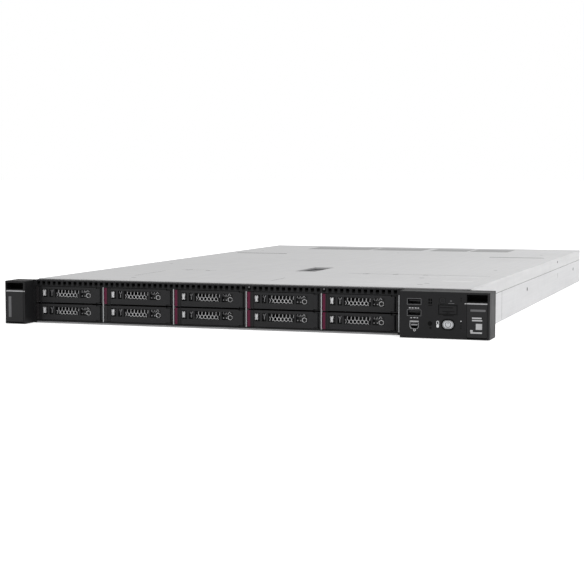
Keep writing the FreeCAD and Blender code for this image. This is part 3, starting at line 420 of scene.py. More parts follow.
sheetGlint = moulding("sheetGlint", (0.80, 0.80, 0.80), 0.5, grain=0.02)
blankLabel = moulding("blankLabel", (0.70, 0.70, 0.70), 0.55, grain=0.02)
gold = sheetMetal("contactGold", (0.55, 0.38, 0.12), 0.05, 0.3, 0.9)
lampWhite = moulding("lampWhite", (0.80, 0.81, 0.82), 0.3, grain=0.01)
punched = perforated("punchedSheet", (0.03, 0.03, 0.03), (0.33, 0.33, 0.335), 3 * mm)
rearMesh = perforated("rearMesh", (0.006, 0.006, 0.006), (0.40, 0.40, 0.41), 3.2 * mm)
lampGreen = moulding("lampGreen", (0.05, 0.32, 0.10), 0.3, grain=0.01)
latchBlack = moulding("latchMoulding", (0.0100, 0.0100, 0.0108), 0.5, bright=("Z", bandLow, bandTone))
print("materials made")

nodeFinish = {
    "chassis_tray": sideSheet, "front_cover": sheet, "top_cover": sheet, "rear_panel": sheet,
    "drive_cage": cageMetal, "front_grille": bezelBlack, "left_ear": black, "right_ear": black,
    "cover_latch": leverGrey, "rack_screws": plated, "io_ports": portShell, "backplane": boardGreen,
    "motherboard": boardGreen, "memory_modules": boardGreen, "heat_sinks": fins, "fan_frames": black,
    "power_button": pale, "id_button": black, "info_tab": black,
}
families = {"drive_tray": trayMetal, "tray_handle": handleBlack, "tray_release": maroon, "fan_rotor": black,
            "power_supply": supplyMetal, "supply_release": maroon, "rack_latch": latchBlack}
# painted shade: these three maroon tabs lie in shadow, so they are painted near-black
shadedTabs = ("tray_release_1", "tray_release_6", "tray_release_7")      # these three are almost black
for name, obj in nodes.items():
    finish = nodeFinish.get(name) or families[name.rsplit("_", 1)[0]]
    if name in shadedTabs:
        finish = shadedMaroon
    obj.data.materials.clear()
    obj.data.materials.append(finish)
print("nodes dressed")


# drive trays: the bright air cells and springs behind each lever's windows; u is across from a tray's
# left edge, v up from the middle of its windows
tray = {
    "tabInset": (0.1, 0.2), "windowMiddle": 9.4, "plane": 21.68, "thick": 0.55, "wall": 0.5,
    "cells": 5, "firstCell": 26.8, "cellPitch": 3.6, "cellFlat": 3.6, "cellHole": 1.5, "cellDrop": 0.3,
    "cellWall": ((0, 1.8), (0.05, 3.2), (0.25, 4.9)),
    "toothAt": 8.6, "toothThick": 2.6, "chevrons": ((21.7, 1.0, 1.9), (24.3, 1.3, 1.7)), "chevronDrop": 1.7,
    "hook": ((-1.6, 0.9), (-1.9, -1.2), (-0.9, -2.4), (0.2, -3.0)), "hookDrop": 1.9,
    "lastCell": (55.7, -1.8, 4.5, 1.85), "lastPeak": ((-1.6, -0.6), (-0.4, 1.6), (1.0, -0.4)),
    "lastPeakAt": (55.4, 2.2), "stem": 16.0, "springWide": 0.7,
    "peaksAt": (48.7, 51.8), "peak": ((-0.9, -0.9), (0, 1.3), (0.9, -0.9)), "peakRise": 1.9,
    "contactDrop": 2.4, "contactRadius": 0.6,
}


def trayPlace(number):
    # a tray's left edge and the middle height of its windows, from the box of its release tab
    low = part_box("tray_release_%d" % number)[0]
    insetX, insetZ = tray["tabInset"]
    return low[0] / mm - insetX, low[2] / mm - insetZ + tray["windowMiddle"]


def trayStrip(x, z, path, wide=tray["wall"]):
    return strip(at(x, tray["plane"], z), faceFront, path, wide, tray["thick"])


def cellRow(x, middle):
    # a row of closed cells, and the upright walls that rise from their peaks, one more at each end
    parts = []
    low = middle - tray["cellPitch"] * math.sqrt(3) / 4 - tray["cellDrop"]
    for index in range(-1, tray["cells"] + 1):
        u = x + tray["firstCell"] + index * tray["cellPitch"]
        if 0 <= index < tray["cells"]:
            place = at(u, tray["plane"], low)
            parts.append(hexRing(place, faceFront, tray["cellFlat"], tray["cellHole"], tray["thick"]))
        parts.append(trayStrip(u, low, tray["cellWall"]))
    return parts


def trayTooth(x, middle):
    # the forked tooth beside the cells: its right half, mirrored to the left
    half = [(0, 2.0), (0.9, 3.3), (1.6, 2.9), (1.4, 0.8), (1.0, -0.6), (1.3, -2.6), (0.7, -3.1), (0, -2.0)]
    outline = half + [(-u, v) for u, v in half[-2:0:-1]]
    return plate(at(x + tray["toothAt"], tray["plane"], middle), faceFront, outline[::-1], tray["toothThick"])


def traySilver(number):
    x, middle = trayPlace(number)
    parts = cellRow(x, middle)
    parts.append(trayTooth(x, middle))
    for u, reach, rise in tray["chevrons"]:
        chevron = [(-reach / 2, rise), (reach / 2, 0), (-reach / 2, -rise)]
        parts.append(trayStrip(x + u, middle - tray["chevronDrop"], chevron))
    afterCells = tray["firstCell"] + tray["cells"] * tray["cellPitch"]
    parts.append(trayStrip(x + afterCells, middle - tray["hookDrop"], tray["hook"]))
    u, v, flat, hole = tray["lastCell"]
    parts.append(hexRing(at(x + u, tray["plane"], middle + v), faceFront, flat, hole, tray["thick"]))
    u, v = tray["lastPeakAt"]
    parts.append(trayStrip(x + u, middle + v, tray["lastPeak"]))
    makeObject("tray_cells_%d" % number, parts, cellSilver, "drive_tray_%d" % number)


def trayFaint(number):
    # the springs and contacts beside the cells, which catch less light
    x, middle = trayPlace(number)
    stem, wide = tray["stem"], tray["springWide"]
    parts = [trayStrip(x, middle, [(stem - 0.1, -3.0), (stem, -0.4), (stem, 0.4)], wide)]
    for turn in (-1, 1):
        branch = [(stem, 0.3), (stem + turn * 0.7, 1.7), (stem + turn * 1.4, 3.2)]
        parts.append(trayStrip(x, middle, branch, wide))
    for u in tray["peaksAt"]:
        parts.append(trayStrip(x + u, middle + tray["peakRise"], tray["peak"]))
        contact = at(x + u + 0.2, tray["plane"], middle - tray["contactDrop"])
        parts.append(disc(contact, faceFront, tray["contactRadius"], tray["thick"], 0.15))
    makeObject("tray_springs_%d" % number, parts, springSilver, "drive_tray_%d" % number)


def tabShade(number):
    # the shaded step along the inner edge of a release tab
    low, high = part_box("tray_release_%d" % number)
    where = np.array([high[0] / mm - 0.35, low[1] / mm, (low[2] + high[2]) / 2 / mm])
    parts = [pad(where, faceFront, 0.6, (high[2] - low[2]) / mm - 0.4, 0.1, 0.05, 0.02)]
    makeObject("tab_shade_%d" % number, parts, shadedMaroon, "tray_release_%d" % number)


for number in range(1, trayCount + 1):
    traySilver(number)
    trayFaint(number)
    tabShade(number)
print("tray details made")


# the bay's front edges: divider shades, the lip's lower edge, painted shade under the comb's holes, and the
# comb's screws
bay = {
    "front": 18.0, "dividers": (-142.6, -68.4, 5.8, 80.0, 154.2), "dividerMiddle": 19.6, "dividerHigh": 33.6,
    "lip": (-31.0, 0.75, 368, 1.3), "holes": 65, "firstHole": -212.9, "holePitch": 5.68,
    "chamfer": (38.0, 2.8, 1.4), "screws": (8.6, 82.4), "screwHigh": 40.4, "screwRadius": 0.9,
}


def dividerShades():
    # the darker half of each divider's front edge
    parts = [pad(at(x + 0.4, bay["front"], bay["dividerMiddle"]), faceFront, 0.45, bay["dividerHigh"], 0.1,
                 0.04, 0.01) for x in bay["dividers"]]
    makeObject("divider_shades", parts, black)


def lipEdge():
    # the sheet's raw edge that shows under the lip
    x, z, wide, high = bay["lip"]
    parts = [pad(at(x, bay["front"], z), faceFront, wide, high, 0.2, 0.06, 0.03, 0.03)]
    makeObject("lip_edge", parts, sheetShade)


def combShades():
    # painted shade under each of the comb's air holes
    z, wide, high = bay["chamfer"]
    parts = []
    for index in range(bay["holes"]):
        place = at(bay["firstHole"] + index * bay["holePitch"], bay["front"], z)
        parts.append(pad(place, faceFront, wide, high, 0.1, 0.03, 0.01, 0.01, 2))
    makeObject("comb_shades", parts, blackAndShade)


def combScrews():
    parts = [screwHead(at(x, bay["front"], bay["screwHigh"]), faceFront, bay["screwRadius"], 0.25)
             for x in bay["screws"]]
    makeObject("comb_screws", parts, markGrey)


dividerShades()
lipEdge()
combShades()
combScrews()
print("bay edges made")


# front controls; a mark is its middle's x and z, its width and height, and its corner where it has one
panel = {
    "flush": 0.04, "edge": 0.02,
    "whiteMarks": ((168.6, 27.0, 1.6, 0.9), (171.2, 27.0, 1.8, 0.9), (174.0, 27.0, 1.8, 0.9),
                   (176.4, 27.0, 1.4, 0.9), (170.0, 18.1, 1.6, 0.8), (173.0, 18.3, 2.0, 0.8),
                   (175.6, 18.1, 1.4, 0.8)),
    "ringMark": (173.1, 7.1), "greyMarks": ((206.6, 31.9, 5.6, 0.45), (206.2, 34.1, 1.7, 0.9, 0.4)),
    "display": (172.7, 11.6), "sockets": ((172.6, 32.85), (172.6, 22.65)), "jack": (187.2, 13.4),
    "darkMarks": ((187.7, 9.5, 1.8, 1.5), (187.3, 29.8, 3.6, 0.7), (204.0, 20.9, 9.6, 0.7),
                  (229.8, 33.4, 18.0, 1.3, 0.1)),
    "lampX": 215.4, "unlit": (36.6, 34.5, 14.5, 12.1, 10.0), "lit": 16.3, "pipe": (194.3, 14.3),
    "button": (203.7, 12.9), "idButton": (198.5, 34.3), "tab": (203.4, 26.25),
    "tabGrooves": ((202.0, 28.0, 12.0, 0.6), (204.0, 24.6, 11.0, 0.6)),
}


def flushPad(x, z, wide, high, corner=0.2):
    # a printed mark on the panel's front
    return pad(at(x, 0, z), faceFront, wide, high, corner, panel["flush"], panel["edge"])


def flushRing(x, z, wide, high, corner, band, edge=panel["edge"], steps=5):
    return frameRing(at(x, 0, z), faceFront, wide, high, corner, band, panel["flush"], edge, steps=steps)


def frontMarks():
    # dashes and a ring where such a panel has its signs
    parts = [flushPad(*mark) for mark in panel["whiteMarks"]]
    parts.append(flushRing(*panel["ringMark"], 2.4, 2.4, 1.2, 0.6, 0.01))
    makeObject("front_marks", parts, markWhite)


def lampMarks():
    # a dash and a bar beside the identity button
    parts = [flushPad(*mark) for mark in panel["greyMarks"]]
    makeObject("lamp_marks", parts, markGrey)


def displayRim():
    # the rim of the small display socket: its outline carried inwards and back, with a bright bar above
    x, z = panel["display"]
    makeObject("display_bar", [flushPad(x, z + 3.4, 8.2, 1.0)], markWhite)
    outline = np.array([(-4.2, 2.4), (4.2, 2.4), (4.2, -1.7), (2.9, -3.5), (-2.9, -3.5), (-4.2, -1.7)])
    stages = scaledStages(outline, ((1, -0.03), (1, 0.04), (0.88, 0.04), (0.88, -3.0)))
    parts = [skin(at(x, 0, z), faceFront, stages, closed=True)]
    parts.append(pad(at(x, 3.0, z + 0.3), faceFront, 6.0, 1.3, 0.2, 2.6, 0.1))      # its tongue
    makeObject("display_rim", parts, faintSilver)


def socketRims():
    # the folded lips round the two plug sockets
    parts = [flushRing(x, z, 13.2, 5.8, 0.4, 0.4) for x, z in panel["sockets"]]
    makeObject("socket_rims", parts, markGrey)


def darkWells():
    # the parts of the panel that swallow light: painted shade in the jack, its key and the gap round the
    # button, the dark dashes, and the unlit lamps
    x, z = panel["jack"]
    parts = [disc(at(x, 0, z), faceFront, 2.1, 0.03, 0.01, 0.01)]
    parts += [flushPad(*mark) for mark in panel["darkMarks"]]
    parts.append(flushRing(*panel["button"], 13.0, 10.4, 5.2, 1.5, 0.01, 9))
    parts += [disc(at(panel["lampX"], 0, z), faceFront, 0.55, panel["flush"], 0.01) for z in panel["unlit"]]
    makeObject("dark_wells", parts, blackAndShade)


def litLamps():
    # the one lit dot and the light pipe beside the power button
    x, z = panel["pipe"]
    parts = [disc(at(panel["lampX"], 0, panel["lit"]), faceFront, 0.5, panel["flush"], 0.01),
             flushPad(x, z - 2.9, 2.4, 3.0, 1.2), flushRing(x, z, 2.4, 3.4, 0.8, 0.5)]
    makeObject("lit_lamps", parts, lampWhite)


def powerFace():
    # the fine grooves on the button: a broken ring, a short bar, and a ring round both
    x, z = panel["button"]
    broken = arc((0, 0), 2.5, -240, 60, 15)
    bar = ((0, 0.6), (0, 1.8), (0, 3.0))
    parts = [strip(at(x, 0, z), faceFront, path, 0.6, panel["flush"]) for path in (broken, bar)]
    parts.append(flushRing(x, z, 9.4, 7.0, 3.5, 0.4, steps=9))
    makeObject("power_face", parts, markGrey, "power_button")


def tabFace():
    # the pull-out card's plate: painted shade along a plain rim round it and in two grooves for the thumb
    parts = [flushRing(*panel["tab"], 16.6, 8.3, 0.6, 0.35)]
    parts += [flushPad(*groove) for groove in panel["tabGrooves"]]
    makeObject("tab_face", parts, blackAndShade, "info_tab")


def buttonFace():
    x, z = panel["idButton"]
    parts = [frameRing(at(x, 0.3, z), faceFront, 4.4, 4.0, 0.5, 0.35, panel["flush"], panel["edge"])]
    makeObject("id_button_face", parts, dimGrey, "id_button")


frontMarks()
lampMarks()
displayRim()
socketRims()
darkWells()
litLamps()
powerFace()
tabFace()
buttonFace()
print("front controls made")


# ears and their latches, in the panel's terms
ear = {
    "bars": ((229.6, 19.4, 8.6, 1.2), (229.9, 17.3, 9.2, 1.2), (231.6, 11.8, 5.6, 5.3),
             (224.9, 8.0, 2.4, 1.5), (229.2, 6.3, 10.4, 1.3)),
    "nameBar": ((230.6, 26.2, 13.6, 1.9),), "band": ((-235.0, 16.6, 3.0, 20.4, 0.4),),
    "stripEnd": (219.4, 32.1), "recess": (229.8, 37.0, 18.0, 5.6), "recessBack": 11.7,
    "slit": (6.5, 1.2, 9.0), "slitBack": 4.0,
}


def latchMarks():
    # plain bars, a blank square and a band stand where such latches carry print
    for name, marks, finish, latch in (("ear_bars_right", ear["bars"], markWhite, "rack_latch_right"),
                                       ("ear_plain_bar_right", ear["nameBar"], markGrey, "rack_latch_right"),
                                       ("ear_band_left", ear["band"], markGrey, "rack_latch_left")):
        makeObject(name, [flushPad(*mark) for mark in marks], finish, latch)


def earStripEnds():
    # the bright line under each finger recess runs a little past the latch, on to the ear
    x, z = ear["stripEnd"]
    parts = [flushPad(sign * x, z, 1.6, 0.8) for sign in (-1, 1)]
    makeObject("ear_strip_ends", parts, markWhite)


def earRecesses():
    # painted shade: near-black on the backs of the finger recesses, and a dark slit low on each ear's outer
    # side
    x, z, wide, high = ear["recess"]
    parts = [pad(at(sign * x, ear["recessBack"], z), faceFront, wide, high, 0.1, 0.03, 0.01)
             for sign in (-1, 1)]
    z, wide, high = ear["slit"]
    for sign, facing in bothSides:
        place = at(sign * earSide, ear["slitBack"], z)
        parts.append(pad(place, facing, wide, high, 0.3, panel["flush"], panel["edge"]))
    makeObject("ear_painted_shade", parts, blackAndShade)


latchMarks()
earStripEnds()
earRecesses()
print("ear details made")


# the top; a pad is its middle's x and y, its width and depth, and its corner where it has one
top = {
    "flush": 0.04, "edge": 0.02, "fields": ((-144.5, -56.5), (-51.8, 17.5), (28.5, 79.5), (84, 135)),
    "fieldSpan": (678, 741), "slots": (-168.6, 168.6), "slotAlong": 556.0, "slotFloor": 42.9,
    "frontDimples": ((-128, 199), (-104, 198), (72, 199), (104, 199), (136, 199), (142, 158), (-134, 71),
                     (164, 86), (161, 70)),
    "rearDimples": ((-128, 209), (72, 209), (104, 209), (-190, 300), (190, 300), (-190, 620), (190, 620),
                    (0, 620)),
    "border": ((144, 60, 122, 1.0, 0.2), (144, 187, 122, 1.0, 0.2), (83, 123, 1.0, 128, 0.2)),
    "glints": ((178, 183, 34, 3.0), (150, 175, 8, 2.5), (186, 122, 30, 6.0), (110, 98, 50, 2.0),
               (118, 66, 60, 2.0)),
    "pressed": ((12, 92, 0.9, 44), (-146, 140, 0.9, 80), (128, 202.6, 150, 1.4), (-116, 202.6, 40, 1.2)),
}


def topPad(x, y, wide, deep, corner, level=topHigh):
    return pad(at(x, y, level), faceTop, wide, deep, corner, top["flush"], top["edge"])


def ventFields():
    # the punched sheet that covers the rear vents
    first, last = top["fieldSpan"]
    parts = [topPad((a + b) / 2, (first + last) / 2, b - a, last - first, 2.0) for a, b in top["fields"]]
    makeObject("vent_fields", parts, punched, "top_cover")


def slotShades():
    # the shaded floors of the two long finger slots
    parts = [topPad(x, top["slotAlong"], 68.6, 5.6, 0.2, top["slotFloor"]) for x in top["slots"]]
    makeObject("slot_shades", parts, blackAndShade, "top_cover")


def frontDimples():
    # flush screw heads and dimples on the fixed cover, most of them along its rear edge
    parts = [topPad(x, y, 5.5, 3.6, 1.8) for x, y in top["frontDimples"]]
    makeObject("front_cover_dimples", parts, sheetShade)


def rearDimples():
    parts = [topPad(x, y, 4.0, 3.0, 1.5) for x, y in top["rearDimples"]]
    makeObject("top_cover_dimples", parts, sheetShade, "top_cover")


def labelBorder():
    # the thin pale border of a blank field for a service label
    parts = [topPad(*line) for line in top["border"]]
    makeObject("label_border", parts, blankLabel)


def labelGlints():
    # painted highlights: bright bars without print in the label's field
    parts = [topPad(*glint, 0.6) for glint in top["glints"]]
    makeObject("label_glints", parts, sheetGlint)


def pressedLines():
    # shallow pressed ribs that run back on the front cover, and the shaded stretches of its rear edge
    parts = [topPad(*line, 0.3) for line in top["pressed"]]
    makeObject("pressed_lines", parts, sheetShade)


ventFields()
slotShades()
frontDimples()
rearDimples()
labelBorder()
labelGlints()
pressedLines()
print("top details made")


# sides; places are y back from the ears' face and height
side = {
    "flush": 0.04, "edge": 0.02, "seam": (402, 29.85, 744, 0.35), "railHoles": (337.0, 708.0),
    "railHigh": 20.75, "flangeHole": (564, 38.0), "sMark": (566, 21.3), "behindEar": (183, 15, 1.2, 29.0),
    "rivets": (60, 120, 240, 440, 640, 750), "rivetHigh": 6.0, "rivetRadius": 1.8,
}


def sidePad(sign, facing, y, z, wide, high, corner=0.2, thick=side["flush"]):
    return pad(at(sign * bodySide, y, z), facing, wide, high, corner, thick, side["edge"])


def sideShades():
    # the dark line under the flange, the insides of the rail holes, and the holes of the flange
    parts = []
    for sign, facing in bothSides:
        parts.append(sidePad(sign, facing, *side["seam"], 0.1, 0.02))
        for y in side["railHoles"]:
            parts.append(sidePad(sign, facing, y, side["railHigh"], 5.0, 4.2, 2.1))
        parts.append(sidePad(sign, facing, *side["flangeHole"], 4.4, 2.8, 1.4))
    makeObject("side_shades", parts, blackAndShade)


def sideMarks():
    # an S-shaped pressed mark of two arcs, stretched along the side, and the vertical seam behind the ear
    y, z = side["sMark"]
    curves = (arc((0, 1.1), 1.1, 20, 270), arc((0, -1.1), 1.1, 90, -160))
    parts = []
    for sign, facing in bothSides:
        for curve in curves:
            path = curve * (1.6 * sign, 1)
            parts.append(strip(at(sign * bodySide, y, z), facing, path, 0.8, side["flush"]))
        parts.append(sidePad(sign, facing, *side["behindEar"]))
    makeObject("side_marks", parts, sheetShade)


def sideRivets():
    # flat rivets that hold the walls, the drive cage and the power bay
    parts = []
    for sign, facing in bothSides:
        for y in side["rivets"]:
            place = at(sign * bodySide, y, side["rivetHigh"])
            parts.append(disc(place, facing, side["rivetRadius"], side["flush"], side["edge"]))
    makeObject("side_rivets", parts, sideSheet)


sideShades()
sideMarks()
sideRivets()
print("side details made")


# rear wall; a port or a card plate is its middle's x and its width
rear = {
    "plateFace": 772.8, "portLow": 6.3, "portHigh": 18.3, "coreFace": 763.0, "insideFace": 764.8,
    "network": ((-68, 14), (-48, 14), (-28, 14)), "stack": (-90.5, 15), "display": (-124, 32),
    "keySide": 2.8, "contacts": 8, "contactMiddle": 14.6, "tongues": (9.4, 15.2),
    "shieldMiddle": 12.3, "shieldDeep": 7.0, "blockDeep": 5.6, "pinRows": (-2.2, 0, 2.2),
    "pinColumns": (-4.8, -2.4, 0, 2.4, 4.8), "lampFace": 772.6, "signHigh": 4.0,
    "cards": ((-159, 98), (-61.5, 62), (16, 57)), "plateMiddle": 28.5, "ventHigh": 12.8,
    "edgeHigh": 15.6, "screws": ((-213.5, 40), (-99.4, 28.5), (-19.8, 28.5)), "screwRadius": 2.3,
}
allPorts = (*rear["network"], rear["stack"], rear["display"])
portMiddle = (rear["portLow"] + rear["portHigh"]) / 2


def rearPad(x, y, z, wide, high, corner=0.3, thick=0.3, edge=0.1):
    return pad(at(x, y, z), faceRear, wide, high, corner, thick, edge)


def portRims():
    # the folded lips of the port shells
    parts = [frameRing(at(x, bodyDeep, portMiddle), faceRear, wide + 2, 14.0, 0.8, 0.9, 0.35)
             for x, wide in allPorts]
    makeObject("rear_port_rims", parts, plated)


def portCores():
    # the black mouldings deep in the ports, darkened further with painted shade; a network port's has a
    # stepped key in each lower corner
    parts = []
    key = rear["keySide"]
    for x, wide in allPorts:
        core = wide - 0.4
        parts.append(rearPad(x, rear["coreFace"], portMiddle, core, 11.6, 0.3, 2.0))
        if (x, wide) in rear["network"]:
            for turn in (-1, 1):
                corner = x + turn * (core / 2 - 1.5), rear["insideFace"], rear["portLow"] + 1.6
                parts.append(rearPad(*corner, key, key, 0.2, 8.0))
    makeObject("rear_port_cores", parts, blackAndShade)


def portContacts():
    # sprung contacts: short bars side by side under the roof of each network port
    parts = []
    for middle, wide in rear["network"]:
        reach = wide / 2 - 3.5
        for x in np.linspace(middle - reach, middle + reach, rear["contacts"]):
            parts.append(rearPad(x, rear["insideFace"], rear["contactMiddle"], 0.5, 5.0, 0.1, 3.0))
    makeObject("rear_port_contacts", parts, gold)


def stackTongues():
    # the two tongues of the stacked sockets, one over the other
    x = rear["stack"][0]
    parts = [rearPad(x, rear["insideFace"], z, 11.4, 1.9, 0.3, 6.5) for z in rear["tongues"]]
    makeObject("stack_tongues", parts, leverGrey)


def displaySocket():
    # a shield whose sides lean inwards, a block inside it, and three rows of pin holes
    where = at(rear["display"][0], rear["insideFace"], rear["shieldMiddle"])
    outline = np.array([(-7.4, -4.0), (7.4, -4.0), (8.6, 4.0), (-8.6, 4.0)])
    deep = rear["shieldDeep"]
    stages = scaledStages(outline, ((1, -0.1), (1, deep), (0.94, deep), (0.94, -0.1)))
    shield = skin(where, faceRear, stages, closed=True)
    makeObject("display_shield", [shield], plated)
    block = plate(where, faceRear, outline * 0.9, rear["blockDeep"])
    makeObject("display_block", [block], leverGrey)
    across, up, out = faceRear
    # the pin holes are dark discs of painted shade on the block
    holes = [disc(where + u * across + v * up + rear["blockDeep"] * out, faceRear, 0.5, 0.05, 0.02, 0.02, 3)
             for v in rear["pinRows"] for u in rear["pinColumns"]]
    makeObject("display_pins", holes, blackAndShade)


def portLamps():
    # the link lamps in the lower corners of the network ports
    parts = [rearPad(x, rear["lampFace"], rear["portLow"] + 1.3, 2.2, 1.6, 0.3, 0.8)
             for middle, wide in rear["network"] for x in (middle - wide / 2 + 1.6, middle + wide / 2 - 1.6)]
    makeObject("rear_link_lamps", parts, lampGreen)


def cardVents():
    # the punched field of each card plate
    parts = [rearPad(x, rear["plateFace"], rear["plateMiddle"], wide, rear["ventHigh"], 0.5, 0.06, 0.03)
             for x, wide in rear["cards"]]
    makeObject("card_vents", parts, rearMesh)


def cardEdges():
    # the bent edge of each card plate, which stands in its opening
    parts = []
    for x, wide in rear["cards"]:
        place = at(x, rear["plateFace"], rear["plateMiddle"])
        parts.append(frameRing(place, faceRear, wide + 3, rear["edgeHigh"], 0.6, 0.8, 0.9))
    makeObject("card_edges", parts, plated)


def rearScrews():
    parts = [screwHead(at(x, bodyDeep, z), faceRear, rear["screwRadius"], 1.1) for x, z in rear["screws"]]
    makeObject("rear_screws", parts, plated)


def rearSigns():
    # a short plain bar below each port, where such a wall has its sign
    parts = [rearPad(x, bodyDeep, rear["signHigh"], 5.0, 0.8, 0.2, 0.05, 0.02) for x, wide in allPorts]
    makeObject("rear_port_signs", parts, leverGrey)


portRims()
portCores()
portContacts()
stackTongues()
displaySocket()
portLamps()
cardVents()
cardEdges()
rearScrews()
rearSigns()
print("rear wall made")


# power supplies; places are the first one's, and the second stands a pitch to the left
supply = {
    "pitch": 76.8, "socket": (196.5, 19.5), "rim": (26.2, 19.2, 0.3), "mouth": (24.0, 16.6, 4.0),
    "rimDeep": 15.6, "mouthDeep": 13.5, "pins": ((0, 3.0), (-7.0, -1.5), (7.0, -1.5)), "pinDeep": 13.6,
    "fan": (159.3, 21.35), "slotSteps": range(-2, 3), "slotStep": 5.6, "slotWide": 3.1, "slotDeep": 2,
    "reach": 14.5, "rings": (5.0, 9.6, 14.2), "wire": 1.0, "guardOut": 0.6, "barAngles": (45, 135),
    "lamp": (180.2, 34.5), "label": (196.5, 35.2), "labelSize": (22.0, 6.0), "tab": (174.6, 9.0),
    "ribs": (3.0, 5.2, 7.4),
}


def supplyAt(number, spot, deep=0, u=0, v=0):
    # a named spot of a supply, moved u along x, v up and deep out from the rear wall's face
    x, z = supply[spot]
    return at(x - (number - 1) * supply["pitch"] + u, bodyDeep + deep, z + v)


def onSupply(name, number, parts, material):
    makeObject("%s_%d" % (name, number), parts, material, "power_supply_%d" % number)


def socketOutline(wide, high, cut):
    # a rectangle whose upper corners are cut off, as such a plug socket's are
    w, h = wide / 2, high / 2
    return np.array([(-w, -h), (w, -h), (w, h - cut), (w - cut, h), (-w + cut, h), (-w, h - cut)])


def plugSocket(number):
    # the socket's moulding: its outline carried from the rim to the floor and closed round the outside
    rim = socketOutline(*supply["rim"])
    mouth = socketOutline(*supply["mouth"])
    stages = [(rim, -supply["rimDeep"]), (rim, 0.0), (rim * 0.985, 0.4), (mouth * 1.02, 0.4), (mouth, 0.0),
              (mouth, -supply["mouthDeep"])]
    onSupply("plug_socket", number, [skin(supplyAt(number, "socket"), faceRear, stages)], black)


def socketPins(number):
    parts = [pad(supplyAt(number, "socket", -supply["pinDeep"], u, v), faceRear, 2.0, 4.2, 0.4, 10.5, 0.5)
             for u, v in supply["pins"]]
    onSupply("socket_pins", number, parts, plated)


def fanSlots(number):
    # painted shade on the floors of the vent slots, each as long as the fan's circle is wide there
    parts = []
    for step in supply["slotSteps"]:
        offset = step * supply["slotStep"]
        wide = 2 * math.sqrt(supply["reach"] ** 2 - offset ** 2)
        place = supplyAt(number, "fan", -supply["slotDeep"], v=offset)
        parts.append(pad(place, faceRear, wide - 0.1, supply["slotWide"], 0.1, 0.1, 0.04))
    onSupply("supply_vents", number, parts, blackAndShade)


def fanGuard(number):
    # a wire guard: rings of round wire, each a circle carried round a circle, on two crossed bars
    where = supplyAt(number, "fan", supply["guardOut"])
    across, up, out = faceRear
    turn = np.linspace(0, 2 * math.pi, 40, endpoint=False)[:, None]
    tube = np.linspace(0, 2 * math.pi, 6, endpoint=False)[None, :]
    parts = []
    for radius in supply["rings"]:
        away = radius + supply["wire"] / 2 * np.cos(tube)
        height = supply["wire"] / 2 * np.sin(tube) + 0 * turn
        grid = (where + (away * np.cos(turn))[..., None] * across + (away * np.sin(turn))[..., None] * up
                + height[..., None] * out)
        parts.append(ringSurface(grid, closed=True))
    for angle in supply["barAngles"]:
        c, s = math.cos(math.radians(angle)), math.sin(math.radians(angle))
        bar = np.linspace(-1, 1, 5)[:, None] * supply["rings"][-1] * np.array([[c, s]])
        parts.append(strip(where, faceRear, bar, 0.9, 0.4, 0.55))
    onSupply("fan_guard", number, parts, plated)


def supplyLamp(number):
    parts = [disc(supplyAt(number, "lamp"), faceRear, 1.3, 0.6, 0.3)]
    onSupply("supply_lamp", number, parts, lampGreen)


def supplyLabel(number):
    # a blank label above the socket
    parts = [pad(supplyAt(number, "label"), faceRear, *supply["labelSize"], 0.6, 0.08, 0.03)]
    onSupply("supply_label", number, parts, blankLabel)


def tabRibs(number):
    # three grip ribs across the thumb tab
    parts = [pad(supplyAt(number, "tab", deep), faceLeft, 0.9, 5.6, 0.4, 0.4, 0.3)
             for deep in supply["ribs"]]
    makeObject("release_ribs_%d" % number, parts, maroon, "supply_release_%d" % number)


for number in range(1, supplyCount + 1):
    plugSocket(number)
    socketPins(number)
    fanSlots(number)
    fanGuard(number)
    supplyLamp(number)
    supplyLabel(number)
    tabRibs(number)
print("supply details made")


# camera, lamps, white surround and floor; lengths are in metres
cameraPlan = {"place": (0.48838, -1.30423, 0.14615), "turn": 18.298, "pitch": -4.484, "roll": 0.043,
              "lens": 92.19, "sensor": 36}
lampPlan = {
    "keyLamp": {"place": (2.2, -1.6, 2.6), "size": 2.4, "power": 54},
    "fillLamp": {"place": (-2.4, -1.8, 1.8), "size": 2.4, "power": 26},
    "backLamp": {"place": (0.6, 2.6, 2.4), "size": 2.0, "power": 30},
}
surround = {"lighting": 0.55, "seen": 1.0}
floorPlan = {"half": 30.0, "drop": 0.0005, "grey": 0.86, "roughness": 0.9, "glow": 0.62}
scene = bpy.context.scene


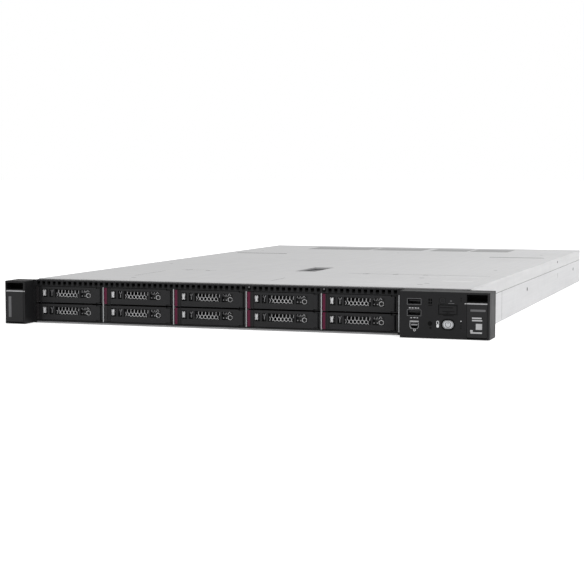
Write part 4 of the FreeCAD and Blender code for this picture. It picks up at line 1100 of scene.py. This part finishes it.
def makeCamera():
    data = bpy.data.cameras.new("camera")
    data.lens = cameraPlan["lens"]
    data.sensor_width = cameraPlan["sensor"]
    camera = bpy.data.objects.new("camera", data)
    x, y, z = cameraPlan["place"]
    pitch, turn, roll = (math.radians(cameraPlan[key]) for key in ("pitch", "turn", "roll"))
    turned = Euler((math.radians(90) + pitch, 0, turn)).to_matrix().to_4x4()
    camera.matrix_world = Matrix.Translation((x, y + frontY, z)) @ turned @ Matrix.Rotation(roll, 4, "Z")
    scene.collection.objects.link(camera)
    scene.camera = camera


def makeLamp(name, place, size, power):
    # a square lamp that faces the origin
    data = bpy.data.lights.new(name, "AREA")
    data.shape = "SQUARE"
    data.size = size
    data.energy = power
    obj = bpy.data.objects.new(name, data)
    scene.collection.objects.link(obj)
    obj.location = place
    x, y, z = place
    obj.rotation_euler = (math.atan2(math.hypot(x, y), z), 0, math.atan2(x, -y))


def makeSurround():
    # white where the camera sees it, and dimmer as a light
    world = bpy.data.worlds.new("world")
    scene.world = world
    world.use_nodes = True
    tree = world.node_tree
    seen = eitherRay(tree, "Is Camera Ray", "Is Transmission Ray")
    background = tree.nodes["Background"]
    strength = spread(tree, seen, 0, 1, surround["lighting"], surround["seen"])
    tree.links.new(strength, background.inputs["Strength"])
    background.inputs["Color"].default_value = (1, 1, 1, 1)


def makeFloor():
    # a wide pale sheet whose own glow, for camera and glossy rays alone, lifts it to white
    mesh = bpy.data.meshes.new("floor")
    half = floorPlan["half"]
    corners = [(-half, -half, 0), (half, -half, 0), (half, half, 0), (-half, half, 0)]
    mesh.from_pydata(corners, [], [(0, 1, 2, 3)])
    floor = bpy.data.objects.new("floor", mesh)
    floor.location.z = -floorPlan["drop"]
    scene.collection.objects.link(floor)
    material, tree, shader = newMaterial("paleFloor")[:3]
    grey = floorPlan["grey"]
    shader.inputs["Base Color"].default_value = (grey, grey, grey, 1)
    shader.inputs["Roughness"].default_value = floorPlan["roughness"]
    shader.inputs["Emission Color"].default_value = (1, 1, 1, 1)
    seen = eitherRay(tree, "Is Camera Ray", "Is Glossy Ray")
    tree.links.new(spread(tree, seen, 0, 1, 0, floorPlan["glow"]), shader.inputs["Emission Strength"])
    mesh.materials.append(material)


makeCamera()
for name, plan in lampPlan.items():
    makeLamp(name, **plan)
makeSurround()
makeFloor()
scene.view_settings.view_transform = "Standard"
print("camera, light and floor set")
